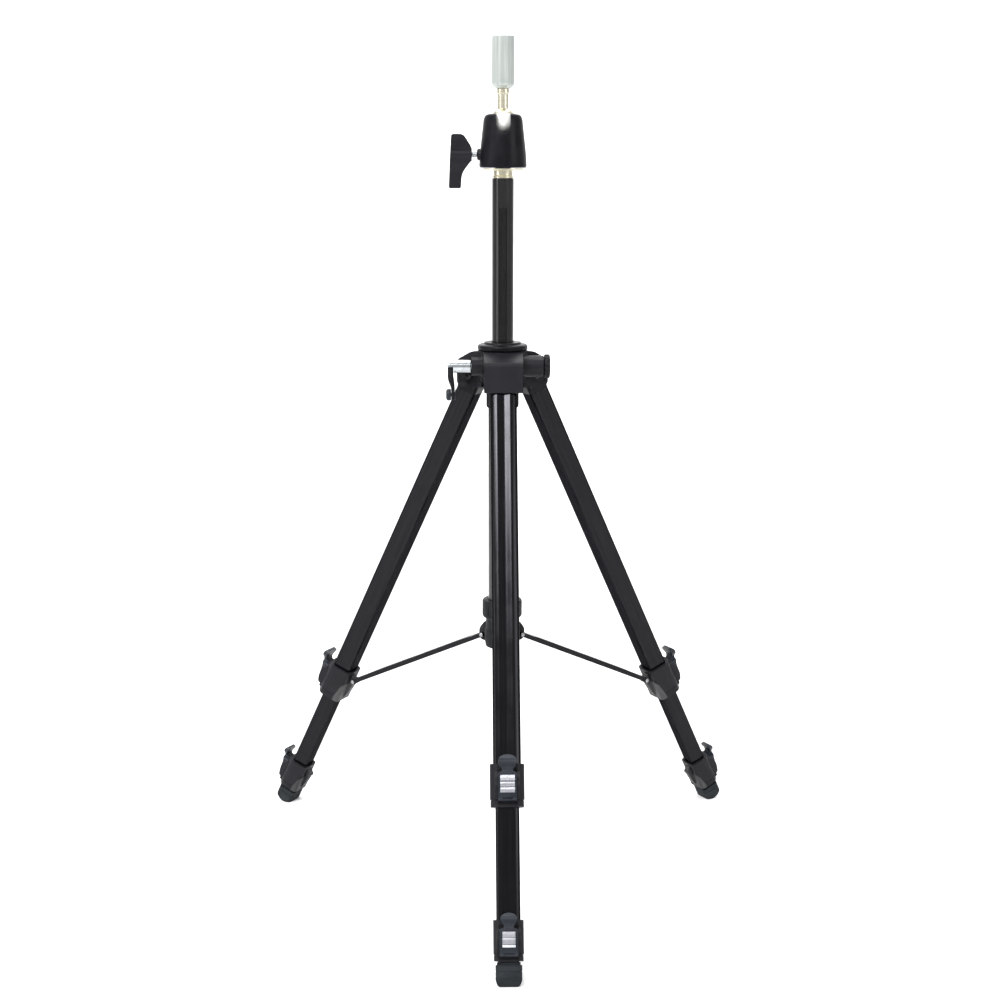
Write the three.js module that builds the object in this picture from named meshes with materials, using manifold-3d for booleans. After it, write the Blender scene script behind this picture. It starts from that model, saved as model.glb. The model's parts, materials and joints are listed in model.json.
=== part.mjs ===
// Light tripod stand with a clamped tilting head peg.
// Millimetres, +Z up. The column stands on the Z axis until the last line centres the footprint.
// The front leg points to -Y; the crank is on the -X side.

import * as THREE from 'three';
import { mergeVertices } from 'three/addons/utils/BufferGeometryUtils.js';
import Module from 'manifold-3d';

const wasm = await Module();
wasm.setup();

// ---------------------------------------------------------------- driving dimensions

const GAP = 0.3; // clearance between neighbouring pieces

// Legs. Lengths along a leg run from its hinge down to the floor.
const legAngle = THREE.MathUtils.degToRad(26.5);
const hingeRadius = 30;
const hingeHeight = 523.3;
const legLength = hingeHeight / Math.cos(legAngle);
const legAzimuths = { front: -90, right: 30, left: 150 };

// Section of each leg tube: [width outside, width inside, depth], wall thickness.
const upperSection = [27, 19, 22];
const middleSection = [23, 16, 18.4];
const lowerSection = [19.6, 13.4, 15.2];
const wall = 1.2;

const upperStart = 12;
const upperEnd = 405;
const middleStart = 170;
const middleEnd = 545;
const lowerStart = 200;
const lowerEnd = 572;

// Leg locks: where each collar starts, its length and its section.
const lockA = { start: 384.5, length: 40, section: [33, 25, 28.4], tube: upperSection, inner: middleSection };
const lockB = { start: 526, length: 36.5, section: [28.6, 21.6, 24.6], tube: middleSection, inner: lowerSection };
const footStart = 563;
const footSection = [25, 20, 21.4];

// Centre line.
const columnRadius = 11;
const columnBottom = 386;
const columnTop = 721;
const guideRadius = 14.75;
const guideTop = 508;
const guideBottom = 238;
const canopyBottom = 511;
const canopyTop = 549;
const ringTop = 557.5;
const armWidth = 39;
const armReach = 43;
const hoodReach = 50.6;
const slotWidth = upperSection[0] + 2 * GAP;

// Rack and pinion of the elevator.
const toothModule = 0.8;
const pinionTeeth = 12;
const pinionRadius = toothModule * pinionTeeth / 2;
const rackPitchY = -9.8;
const pinionY = rackPitchY - pinionRadius;
const pinionZ = 534;

// Brace linkage.
const sliderPivot = { r: 22, z: 243.5 };
const braceLug = { along: 393.5, out: -18.5 };
const braceHeight = 4.6;
const braceWidth = 13;
const lugWidth = 6.4;

// Head.
const baseBottom = 731;
const baseTop = 783.3;
const ballZ = 776.5;
const ballRadius = 13;
const screwZ = 744;
const pegBottom = 807.7;
const pegTop = 857.5;

// ---------------------------------------------------------------- materials

const finish = (color, roughness, metalness) => new THREE.MeshStandardMaterial({ color, roughness, metalness });
const blackPlastic = finish(0x1b1b1d, 0.45, 0);
const blackAluminium = finish(0x222224, 0.35, 0.6);
const glossBlack = finish(0x151517, 0.18, 0.3);
const greyPlastic = finish(0x3a3a3c, 0.5, 0);
const rubber = finish(0x2c2d2e, 0.8, 0);
const chrome = finish(0xd8dcdd, 0.12, 1);
const satinSteel = finish(0xb4bab6, 0.35, 0.9);
const champagne = finish(0xa8a488, 0.3, 0.9);

// ---------------------------------------------------------------- solid helpers

// Removes duplicate vertices and empty triangles, and turns the faces outwards.
function closed(geometry) {
  const bare = geometry.clone();
  bare.deleteAttribute('normal');
  bare.deleteAttribute('uv');
  const merged = mergeVertices(bare, 1e-4);
  const position = merged.getAttribute('position');
  const index = merged.getIndex().array;
  const corners = [0, 1, 2].map(() => new THREE.Vector3());
  const kept = [];
  let volume = 0;
  for (let i = 0; i < index.length; i += 3) {
    const triangle = [index[i], index[i + 1], index[i + 2]];
    if (new Set(triangle).size < 3) continue;
    corners.forEach((corner, k) => corner.fromBufferAttribute(position, triangle[k]));
    volume += corners[0].dot(corners[1].clone().cross(corners[2]));
    kept.push(triangle);
  }
  const outward = volume < 0 ? kept.map(([a, b, c]) => [a, c, b]) : kept;
  merged.setIndex(outward.flat());
  return merged;
}

function solid(geometry) {
  const part = closed(geometry);
  return new wasm.Manifold(new wasm.Mesh({
    numProp: 3,
    vertProperties: new Float32Array(part.getAttribute('position').array),
    triVerts: new Uint32Array(part.getIndex().array),
  }));
}

function geometryOf(manifold) {
  const mesh = manifold.getMesh();
  const geometry = new THREE.BufferGeometry();
  geometry.setAttribute('position', new THREE.BufferAttribute(new Float32Array(mesh.vertProperties), 3));
  geometry.setIndex([...mesh.triVerts]);
  return geometry;
}

// Joins the first list of geometries and cuts the second list from the result.
function shaped(added, removed = []) {
  let body = solid(added[0]);
  for (const piece of added.slice(1)) body = body.add(solid(piece));
  for (const piece of removed) body = body.subtract(solid(piece));
  return geometryOf(body);
}

// A turned piece about Z from a profile of [radius, height] points.
function turned(profile, segments = 24) {
  const points = profile.map(([r, z]) => new THREE.Vector2(r, z));
  return new THREE.LatheGeometry(points, segments).rotateX(Math.PI / 2);
}

function ring(outer, inner, bottom, top, segments = 24) {
  return turned([[inner, bottom], [outer, bottom], [outer, top], [inner, top], [inner, bottom]], segments);
}

function bar(radius, bottom, top, segments = 16) {
  return turned([[0, bottom], [radius, bottom], [radius, top], [0, top]], segments);
}

// A round bar along X, or along Y, between two coordinates.
const barX = (radius, x0, x1, y, z, segments = 10) =>
  bar(radius, x0, x1, segments).rotateY(Math.PI / 2).translate(0, y, z);
const barY = (radius, y0, y1, x, z, segments = 10) =>
  bar(radius, -y1, -y0, segments).rotateX(Math.PI / 2).translate(x, 0, z);

function block(x0, x1, y0, y1, z0, z1) {
  const box = new THREE.BoxGeometry(x1 - x0, y1 - y0, z1 - z0);
  return box.translate((x0 + x1) / 2, (y0 + y1) / 2, (z0 + z1) / 2);
}

// A closed outline through corners [x, y, radius]. Each corner is rounded by its radius,
// or by as much as its shorter side allows.
function outline(corners) {
  const shape = new THREE.Shape();
  const count = corners.length;
  corners.forEach(([x, y, wanted], i) => {
    const corner = new THREE.Vector2(x, y);
    const before = new THREE.Vector2(...corners[(i + count - 1) % count]).sub(corner);
    const after = new THREE.Vector2(...corners[(i + 1) % count]).sub(corner);
    const radius = Math.min(wanted, 0.45 * before.length(), 0.45 * after.length());
    const inward = before.setLength(radius).add(corner);
    const outward = after.setLength(radius).add(corner);
    if (i === 0) shape.moveTo(inward.x, inward.y);
    else shape.lineTo(inward.x, inward.y);
    if (radius > 0) shape.quadraticCurveTo(x, y, outward.x, outward.y);
  });
  shape.closePath();
  return shape;
}

// Extrudes an outline of X and Y upwards from z0 to z1, with an optional chamfer on both ends.
function prism(shape, z0, z1, chamfer = 0, curveSegments = 2) {
  const depth = z1 - z0 - 2 * chamfer;
  const bevel = { bevelThickness: chamfer, bevelSize: chamfer, bevelOffset: -chamfer, bevelSegments: 1 };
  const options = { depth, curveSegments, bevelEnabled: chamfer > 0, ...bevel };
  return new THREE.ExtrudeGeometry(shape, options).translate(0, 0, z0 + chamfer);
}

// Extrudes an outline of X and Z along Y, centred on y = middle.
const plateY = (shape, middle, thickness, chamfer = 0) =>
  prism(shape, -thickness / 2, thickness / 2, chamfer).rotateX(Math.PI / 2).translate(0, middle, 0);

// Extrudes an outline of Y and Z along X, from x0 to x1.
const plateX = (shape, x0, x1, chamfer = 0) =>
  prism(shape, x0, x1, chamfer).rotateX(Math.PI / 2).rotateZ(Math.PI / 2);

// ---------------------------------------------------------------- scene helpers

const tripod = new THREE.Group();

function add(name, geometry, material, parent = tripod) {
  const mesh = new THREE.Mesh(closed(geometry), material);
  mesh.name = name;
  parent.add(mesh);
  return mesh;
}

// ---------------------------------------------------------------- leg pieces
// Leg frame: the hinge is the origin, +X points out of the leg's outer face,
// Y is across the leg, and the leg runs down -Z.

// Section of a leg tube: wide crowned outer face at +X, narrow inner face at -X.
function legOutline([outerWidth, innerWidth, depth], inset = 0, centre = 0) {
  const out = centre + depth / 2 - inset;
  const back = centre - depth / 2 + inset;
  const wide = outerWidth / 2 - inset;
  const narrow = innerWidth / 2 - inset;
  const crown = 1.6;
  return outline([
    [out, 0, 4], [out - crown, wide, 4], [back, narrow, 2], [back, -narrow, 2], [out - crown, -wide, 4],
  ]);
}

function legTube(section, start, end) {
  const shape = legOutline(section);
  shape.holes.push(legOutline(section, wall));
  return prism(shape, -end, -start);
}

// The moulded head: a knuckle round the hinge pin and a hollow plug inside the upper tube.
function legHead() {
  const knuckle = 9;
  const half = upperSection[0] / 2 - GAP;
  const seat = -upperStart + GAP;
  return shaped([
    barY(knuckle, -half, half, 0, 0, 20),
    block(-knuckle, knuckle, -half, half, seat, 0),
    prism(legOutline(upperSection, wall + GAP), -44, seat + 1),
  ], [
    prism(legOutline(upperSection, wall + 3), -45, -upperStart - 4),
    barY(2.8, -20, 20, 0, 0),
  ]);
}

const hingePin = () => shaped([
  barY(2.5, -armWidth / 2 - 0.5, armWidth / 2 + 0.5, 0, 0),
  barY(4, armWidth / 2 + 0.4, armWidth / 2 + 1.8, 0, 0),
  barY(4, -armWidth / 2 - 1.8, -armWidth / 2 - 0.4, 0, 0),
]);

// Lever geometry shared by both locks, scaled by the collar's width.
function leverPlan(lock) {
  const scale = lock.section[0] / lockA.section[0];
  const face = lock.section[2] / 2 + 0.7;
  return {
    scale,
    face,
    centre: 0.7,
    width: 17.4,
    pivotOut: face + 2.6 * scale,
    pivotAlong: lock.start + lock.length * 0.78,
    tipAlong: lock.start - 8 * scale,
    plateStart: lock.start + lock.length * 0.265,
    plateLength: 16.5 * scale,
    plateWidth: 13.6 * scale,
  };
}

function lockCollar(lock, withLug) {
  const plan = leverPlan(lock);
  const end = lock.start + lock.length;
  const shoulder = lock.tube === upperSection ? upperEnd : middleEnd;
  const body = prism(legOutline(lock.section, 0, plan.centre), -end, -lock.start, 1);
  const k = plan.scale;
  const ear = outline([
    [plan.face - 5, -lock.start - 6 * k, 0], [plan.face - 0.6, -lock.start - 7 * k, 1.5],
    [plan.face + 4.8 * k, -lock.start - 14 * k, 3], [plan.face + 6.6 * k, -lock.start - 20 * k, 3],
    [plan.face + 5.8 * k, -lock.start - 27.5 * k, 2.5], [plan.face + 4.4 * k, -plan.pivotAlong - 3, 2.5],
    [plan.face - 5, -plan.pivotAlong - 5, 0],
  ]);
  const earMiddle = plan.width / 2 + GAP + 1.4;
  const added = [body, plateY(ear, earMiddle, 2.8), plateY(ear, -earMiddle, 2.8)];
  const removed = [
    prism(legOutline(lock.tube, -GAP), -shoulder - GAP, -lock.start + 1),
    prism(legOutline(lock.inner, -GAP), -end - 1, -shoulder),
    barY(2.1, -16, 16, plan.pivotOut, -plan.pivotAlong),
    block(plan.face - 2, plan.face + 9, -plan.width / 2 - GAP, plan.width / 2 + GAP,
      -plan.pivotAlong - 7, -plan.pivotAlong + 7),
  ];
  if (withLug) {
    const lug = outline([
      [-11.8, -braceLug.along + 8, 0], [braceLug.out - 3.4, -braceLug.along + 2.6, 3],
      [braceLug.out - 2.6, -braceLug.along - 20, 6], [-11.8, -end + 1, 0],
    ]);
    added.push(plateY(lug, 0, lugWidth));
    removed.push(prism(legOutline(lock.tube, -GAP), -shoulder - GAP, -lock.start + 12));
    removed.push(barY(1.8, -5, 5, braceLug.out, -braceLug.along));
  }
  return shaped(added, removed);
}

// The flip lever: a spade-shaped finger blade on a narrow neck, over a body with a pocket for its face plate.
function lockLever(lock) {
  const plan = leverPlan(lock);
  const k = plan.scale;
  const inside = plan.face + GAP;
  const outside = inside + 6.2 * k;
  const tip = -plan.tipAlong;
  const pivot = -plan.pivotAlong;
  const side = outline([
    [inside + 7.6 * k, tip, 1], [inside + 10.1 * k, tip, 1], [inside + 12.4 * k, tip - 7 * k, 6],
    [inside + 13.2 * k, tip - 11 * k, 4], [inside + 10.6 * k, tip - 15.5 * k, 4],
    [inside + 8.2 * k, tip - 21 * k, 4], [inside + 6.9 * k, pivot + 2, 6],
    [plan.pivotOut + 3 * k, pivot - 3.6, 3], [plan.pivotOut - 2.6 * k, pivot - 3.6, 2.4],
    [inside, pivot + 8, 2], [inside, tip - 17.4 * k, 1], [inside + 4.6 * k, tip - 16.4 * k, 3],
    [inside + 9.6 * k, tip - 11.6 * k, 3], [inside + 9.4 * k, tip - 7 * k, 5],
  ]);
  const body = plan.width / 2;
  const blade = 8.8 * k;
  const neck = 5.2 * k;
  const half = [
    [blade * 0.62, tip - 1.2 * k, 4], [blade * 0.96, tip - 4.2 * k, 4], [blade, tip - 7 * k, 4],
    [blade * 0.84, tip - 10.8 * k, 4], [neck, tip - 13.4 * k, 3], [neck, tip - 15.6 * k, 1.5],
    [body, tip - 17.2 * k, 1.5], [body, pivot - 6, 1],
  ];
  const mirrored = half.map(([y, z, radius]) => [-y, z, radius]).reverse();
  const front = outline([[0, tip, 4], ...half, ...mirrored]);
  const blank = solid(plateY(side, 0, 2 * blade + 2)).intersect(solid(plateX(front, 0, 60)));
  const pocket = block(outside - 1.6, outside + 8, -plan.plateWidth / 2 - GAP, plan.plateWidth / 2 + GAP,
    -plan.plateStart - plan.plateLength - GAP, -plan.plateStart + GAP);
  const stubs = barY(1.8, -plan.width / 2 - 2.6, plan.width / 2 + 2.6, plan.pivotOut, pivot);
  return shaped([geometryOf(blank), stubs], [pocket]);
}

function lockPlate(lock) {
  const plan = leverPlan(lock);
  const floor = plan.face + 6.2 * plan.scale - 1;
  const half = plan.plateLength / 2;
  const crowned = outline([
    [floor, -half, 0], [floor + 2.1, -half, 0.4], [floor + 2.9, 0, 5], [floor + 2.1, half, 0.4], [floor, half, 0],
  ]);
  return plateY(crowned, 0, plan.plateWidth).translate(0, 0, -plan.plateStart - half);
}

// The rubber boot over the end of the lower tube, cut flat at the floor with its outer edge bevelled away.
// The sole ends at soleEdge, and the bevel starts at bevelStart along the outer face.
const soleEdge = 1.5;
const bevelStart = 575;
function footBoot() {
  const boot = prism(legOutline(footSection), -legLength - 14, -footStart - GAP, 1.2);
  const socket = prism(legOutline(lowerSection, -GAP), -lowerEnd - GAP, -footStart + 1);
  const belowFloor = block(-60, 60, -60, 60, -60, 0);
  belowFloor.rotateY(legAngle).translate(0, 0, -legLength);
  const soleEnd = legLength + soleEdge * Math.tan(legAngle);
  const bevelSlope = (soleEnd - bevelStart) / (footSection[2] / 2 - soleEdge);
  const bevel = plateY(outline([
    [soleEdge, -soleEnd, 0], [soleEdge + 15, -soleEnd + 15 * bevelSlope, 0], [soleEdge + 15, -soleEnd - 15, 0],
    [soleEdge, -soleEnd - 15, 0],
  ]), 0, 60);
  return shaped([boot], [socket, belowFloor, bevel]);
}

// ---------------------------------------------------------------- brace pieces

// Brace in its own frame: the slider pivot is the origin and the strap runs out along +X.
function braceStrap(length) {
  const half = braceHeight / 2;
  const strap = outline([
    [-half, half, half], [length + half, half, half], [length + half, -half, half], [-half, -half, half],
  ]);
  const forkDepth = 17;
  const fork = lugWidth / 2 + GAP;
  return shaped([plateY(strap, 0, braceWidth)], [
    block(-10, forkDepth - 5, -fork, fork, -9, 9),
    block(length - forkDepth - 8, length + 10, -fork, fork, -9, 9),
    block(forkDepth, length - forkDepth - 14, -braceWidth / 2 + 1.4, braceWidth / 2 - 1.4, -half - 1, half - 1.6),
    barY(1.8, -10, 10, 0, 0),
    barY(1.8, -10, 10, length, 0),
  ]);
}

const bracePin = () => shaped([
  barY(1.5, -braceWidth / 2 - 0.4, braceWidth / 2 + 0.4, 0, 0),
  barY(2.8, braceWidth / 2 + GAP, braceWidth / 2 + 1.5, 0, 0),
  barY(2.8, -braceWidth / 2 - 1.5, -braceWidth / 2 - GAP, 0, 0),
]);

// ---------------------------------------------------------------- legs and braces

const lugRadius = hingeRadius + braceLug.along * Math.sin(legAngle) + braceLug.out * Math.cos(legAngle);
const lugHeight = hingeHeight - braceLug.along * Math.cos(legAngle) + braceLug.out * Math.sin(legAngle);
const braceRun = lugRadius - sliderPivot.r;
const braceDrop = sliderPivot.z - lugHeight;
const braceLength = Math.hypot(braceRun, braceDrop);
const braceSlope = Math.atan2(braceDrop, braceRun);

for (const [side, azimuth] of Object.entries(legAzimuths)) {
  const sector = new THREE.Group();
  sector.rotation.z = THREE.MathUtils.degToRad(azimuth);
  tripod.add(sector);

  const hinge = new THREE.Group();
  hinge.position.set(hingeRadius, 0, hingeHeight);
  sector.add(hinge);
  add(`${side}_hinge_pin`, hingePin(), satinSteel, hinge);

  const leg = new THREE.Group();
  leg.rotation.y = -legAngle;
  hinge.add(leg);
  add(`${side}_leg_head`, legHead(), blackPlastic, leg);
  add(`${side}_upper_tube`, legTube(upperSection, upperStart, upperEnd), blackAluminium, leg);
  add(`${side}_middle_tube`, legTube(middleSection, middleStart, middleEnd), blackAluminium, leg);
  add(`${side}_lower_tube`, legTube(lowerSection, lowerStart, lowerEnd), blackAluminium, leg);
  for (const [label, lock] of Object.entries({ upper: lockA, lower: lockB })) {
    add(`${side}_${label}_lock_collar`, lockCollar(lock, lock === lockA), blackPlastic, leg);
    add(`${side}_${label}_lock_lever`, lockLever(lock), blackPlastic, leg);
    add(`${side}_${label}_lock_plate`, lockPlate(lock), chrome, leg);
  }
  add(`${side}_foot`, footBoot(), rubber, leg);

  const brace = new THREE.Group();
  brace.position.set(sliderPivot.r, 0, sliderPivot.z);
  brace.rotation.y = braceSlope;
  sector.add(brace);
  add(`${side}_brace`, braceStrap(braceLength), blackAluminium, brace);
  add(`${side}_brace_pin`, bracePin(), satinSteel, brace);
}

// ---------------------------------------------------------------- canopy

// Roofed arm with two cheeks, drawn for a leg that points along +X. The ends are the corners past the roof.
const forkEnd = [
  [armReach - 2, canopyTop - 6, 5], [armReach, canopyBottom + 3, 5], [armReach - 12, canopyBottom, 4],
];
const hoodEnd = [
  [hoodReach - 2, canopyTop - 7.6, 2], [hoodReach, canopyTop - 10.5, 1.5], [hoodReach, canopyBottom, 1],
];
const canopyArm = (end) => plateY(outline([
  [0, canopyTop, 0], [24, canopyTop, 6], ...end, [0, canopyBottom, 0],
]), 0, armWidth, 1);

// Room for the leg's knuckle. A fork is open at its end; the front hood closes over the leg's outer face.
const slotTop = 534.5;
const slotMouth = canopyBottom - 5;
const forkRoom = [[armReach + 5, slotTop, 0], [armReach + 5, slotMouth, 0]];
const hoodRoom = [[36, slotTop, 1], [39.5, 530.3, 0.5], [51.6, slotMouth, 0]];
const canopySlot = (room) => plateY(outline([
  [20.3, slotMouth, 0], [20.3, slotTop, 5], ...room,
]), 0, slotWidth);

const sectors = Object.values(legAzimuths).map((azimuth) => THREE.MathUtils.degToRad(azimuth));
const frontSector = sectors[0];
const canopyParts = [
  turned([[0, canopyBottom], [20, canopyBottom], [25, 519], [26.5, 545], [25, canopyTop], [0, canopyTop]]),
  bar(16.75, 490, canopyBottom + 1, 24),
  barX(11, -22, 41, pinionY, pinionZ, 24),
  barX(9.6, -32, -21, pinionY, pinionZ, 24),
  ...sectors.map((angle) => canopyArm(angle === frontSector ? hoodEnd : forkEnd).rotateZ(angle)),
];
const canopyCuts = [
  bar(columnRadius + GAP, 480, 560, 24),
  bar(guideRadius + GAP, 480, guideTop + GAP, 24),
  barX(3.3, -40, 33.5, pinionY, pinionZ),
  barX(6.2, -4.5, 4.5, pinionY, pinionZ, 16),
  barX(2.8, 33, 50, pinionY, pinionZ),
  ...sectors.map((angle) => canopySlot(angle === frontSector ? hoodRoom : forkRoom).rotateZ(angle)),
  ...sectors.map((angle) => barY(2.8, -30, 30, hingeRadius, hingeHeight).rotateZ(angle)),
];
add('canopy', shaped(canopyParts, canopyCuts), blackPlastic);
add('canopy_ring', turned([
  [columnRadius + GAP, canopyTop + GAP], [26, canopyTop + GAP], [26, ringTop],
  [columnRadius + GAP, ringTop], [columnRadius + GAP, canopyTop + GAP],
]), blackPlastic);

// ---------------------------------------------------------------- guide tube and spreader

add('guide_tube', ring(guideRadius, 13.4, guideBottom, guideTop), blackAluminium);
add('guide_cap', turned([
  [columnRadius + GAP, guideBottom - 4], [guideRadius - GAP, guideBottom - 4], [guideRadius, guideBottom - GAP],
  [13.1, guideBottom - GAP], [13.1, guideBottom + 12], [columnRadius + GAP, guideBottom + 12],
  [columnRadius + GAP, guideBottom - 4],
]), blackPlastic);

const sliderBottom = 234;
const sliderTop = 285;
const sliderBore = guideRadius + GAP;
const sliderLug = plateY(outline([
  [15.6, sliderBottom + 2, 0], [25.5, sliderBottom + 4, 4], [26.5, sliderPivot.z + 6, 4], [15.6, 261, 0],
]), 0, lugWidth);
add('spreader_slider', shaped([
  turned([
    [sliderBore, sliderBottom], [17.2, sliderBottom], [17.2, 266], [21, 268], [21, sliderTop - 1],
    [20, sliderTop], [sliderBore, sliderTop], [sliderBore, sliderBottom],
  ]),
  ...sectors.map((angle) => sliderLug.clone().rotateZ(angle)),
], sectors.map((angle) => barY(1.8, -8, 8, sliderPivot.r, sliderPivot.z).rotateZ(angle))), blackPlastic);

// ---------------------------------------------------------------- column, rack and crank

const rackHalfWidth = 3.5;
const rackBottom = 410;
const toothPitch = Math.PI * toothModule;
const rackTeeth = 112;
const rackTip = rackPitchY - toothModule;
const rackRoot = rackPitchY + 1.25 * toothModule;

add('column_tube', shaped([ring(columnRadius, 9.5, columnBottom, columnTop)], [
  block(-rackHalfWidth - GAP, rackHalfWidth + GAP, -20, 0, rackBottom - GAP,
    rackBottom + rackTeeth * toothPitch + GAP),
]), glossBlack);

// Rack teeth face -Y. A gap between two teeth lies level with the pinion's axis.
function rackBar() {
  const shape = new THREE.Shape();
  const phase = ((pinionZ - rackBottom) / toothPitch) % 1;
  shape.moveTo(-7.4, rackBottom);
  shape.lineTo(rackRoot, rackBottom);
  for (let tooth = 0; tooth < rackTeeth - 1; tooth += 1) {
    const middle = rackBottom + (tooth + 0.5 + phase) * toothPitch;
    shape.lineTo(rackRoot, middle - 0.62);
    shape.lineTo(rackTip, middle - 0.28);
    shape.lineTo(rackTip, middle + 0.28);
    shape.lineTo(rackRoot, middle + 0.62);
  }
  const top = rackBottom + rackTeeth * toothPitch;
  shape.lineTo(rackRoot, top);
  shape.lineTo(-7.4, top);
  shape.closePath();
  return plateX(shape, -rackHalfWidth, rackHalfWidth);
}
add('column_rack', rackBar(), blackPlastic);

// Pinion outline in Y and Z, with one tooth pointing at the rack.
function pinionOutline() {
  const shape = new THREE.Shape();
  const root = pinionRadius - 1.25 * toothModule;
  const tip = pinionRadius + toothModule;
  for (let tooth = 0; tooth < pinionTeeth; tooth += 1) {
    const angle = tooth * 2 * Math.PI / pinionTeeth;
    const along = new THREE.Vector2(Math.cos(angle), Math.sin(angle));
    const across = new THREE.Vector2(-along.y, along.x);
    [[root, -0.62], [tip, -0.25], [tip, 0.25], [root, 0.62]].forEach(([radius, side], k) => {
      const point = along.clone().multiplyScalar(radius).addScaledVector(across, side);
      if (tooth === 0 && k === 0) shape.moveTo(point.x, point.y);
      else shape.lineTo(point.x, point.y);
    });
  }
  shape.closePath();
  return shape;
}

const crankOuter = -56.5;
const crankInner = -50;
add('crank_shaft', shaped([
  barX(3, -33, 33, pinionY, pinionZ),
  barX(6.6, crankOuter, -32 - GAP, pinionY, pinionZ, 20),
  plateX(pinionOutline(), -3.2, 3.2).translate(0, pinionY, pinionZ),
], [
  block(crankOuter - 1, crankInner, pinionY - 9, pinionY + 9, pinionZ - 9, pinionZ),
]), chrome);

// The crank arm hangs from the shaft's notched end and leans in towards the leg.
const knobZ = pinionZ - 29;
const armSide = plateY(outline([
  [crankOuter + GAP, pinionZ - GAP, 0], [crankInner - GAP, pinionZ - GAP, 0], [crankInner - GAP, pinionZ - 10, 3],
  [-49, pinionZ - 20, 3], [-49, knobZ - 7, 0], [-52.5, knobZ - 7, 0], [-52.5, pinionZ - 22, 3],
  [crankOuter + GAP, pinionZ - 12, 3],
]), pinionY, 14);
const armFace = plateX(outline([
  [pinionY - 6.2, pinionZ, 0], [pinionY + 6.2, pinionZ, 0], [pinionY + 5.2, knobZ - 5.5, 5],
  [pinionY - 5.2, knobZ - 5.5, 5],
]), -60, -45);
const armBlank = solid(armSide).intersect(solid(armFace));
add('crank_arm', geometryOf(armBlank.subtract(solid(barX(2.1, -60, -45, pinionY, knobZ)))), blackPlastic);
add('crank_knob', turned([
  [0, -58], [4.6, -58], [5.8, -57], [6.2, -55], [5.8, -52.5 - GAP], [1.8, -52.5 - GAP],
  [1.8, -49 + GAP], [5.4, -49 + GAP], [5.4, -48], [0, -48],
]).rotateY(Math.PI / 2).translate(0, pinionY, knobZ), blackPlastic);

// The lock knob bears on the housing's other end, on the shaft's axis.
function fluted(radius, depth, flutes) {
  const shape = new THREE.Shape();
  const steps = flutes * 4;
  for (let step = 0; step < steps; step += 1) {
    const angle = step * 2 * Math.PI / steps;
    const reach = radius - (step % 4 === 0 ? depth : 0);
    if (step === 0) shape.moveTo(reach, 0);
    else shape.lineTo(reach * Math.cos(angle), reach * Math.sin(angle));
  }
  shape.closePath();
  return shape;
}
add('column_lock_knob', shaped([
  plateX(fluted(12.4, 0.9, 14), 41 + GAP, 48, 1).translate(0, pinionY, pinionZ),
  barX(2.5, 34, 42, pinionY, pinionZ),
]), blackPlastic);

// ---------------------------------------------------------------- head

// Plug in the column's top, with a thin disc that the head base turns on.
const discRadius = 21;
const discBottom = baseBottom - GAP - 1.4;
add('column_spigot', turned([
  [0, 706], [9.2, 706], [9.2, columnTop + GAP], [10.6, columnTop + GAP], [10.6, columnTop + 1.5],
  [9.8, columnTop + 3], [9.8, discBottom], [discRadius, discBottom], [discRadius, baseBottom - GAP],
  [8, baseBottom - GAP], [8, 750], [0, 750],
]), champagne);

const slotHalf = 6.95;
const cavity = ballRadius + GAP;
const ballBore = new THREE.SphereGeometry(cavity, 24, 14).translate(0, 0, ballZ);
add('head_base', shaped([
  turned([
    [0, baseBottom], [23.5, baseBottom], [23.8, 734], [23.4, 741], [22.6, 750], [21.5, 760], [20.3, 770],
    [19.6, 777], [18.7, 780.6], [16.4, 782.8], [14.5, baseTop], [0, baseTop],
  ]),
  barX(5.6, -26, -18, 0, screwZ, 16),
], [
  bar(8 + GAP, baseBottom - 1, 752),
  bar(cavity, 750.6, ballZ, 24),
  ballBore,
  block(-slotHalf, slotHalf, -40, 0, ballZ - 4, baseTop + 5),
  barY(slotHalf, -40, 0, 0, ballZ - 4, 24),
  barX(3.2, -40, 0, 0, screwZ),
]), blackPlastic);

// Cup that the clamp screw wedges up against the ball.
add('clamp_cup', shaped([bar(ballRadius - 0.2, 751, 766, 24)], [ballBore, bar(4, 740, 770, 12)]), greyPlastic);

const neckRadius = 6.2;
const ballTopZ = ballZ + Math.sqrt(ballRadius ** 2 - neckRadius ** 2);
function ballStem() {
  const steps = 12;
  const profile = [];
  const last = Math.PI / 2 - Math.asin(neckRadius / ballRadius);
  for (let step = 0; step <= steps; step += 1) {
    const angle = -Math.PI / 2 + (last + Math.PI / 2) * step / steps;
    profile.push([step === 0 ? 0 : ballRadius * Math.cos(angle), ballZ + ballRadius * Math.sin(angle)]);
  }
  profile.push([neckRadius, ballTopZ + 2], [neckRadius, pegBottom - GAP], [4, pegBottom - GAP], [4, 845], [0, 845]);
  return turned(profile, 24);
}
add('tilt_ball', ballStem(), champagne);

// Octagonal peg, slightly narrower at the top, with a tapered foot.
function octagon(flats, z) {
  const radius = flats / 2 / Math.cos(Math.PI / 8);
  return [radius, z];
}
add('head_peg', shaped([
  turned([
    [0, pegBottom], [7.4, pegBottom], octagon(20.4, pegBottom + 2.6), octagon(22.8, pegBottom + 6),
    octagon(21.7, pegTop - 1),
    octagon(20.3, pegTop), [0, pegTop],
  ], 8).rotateZ(Math.PI / 8),
], [
  bar(4 + GAP, pegBottom - 1, 845 + GAP, 24),
]), satinSteel);

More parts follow.
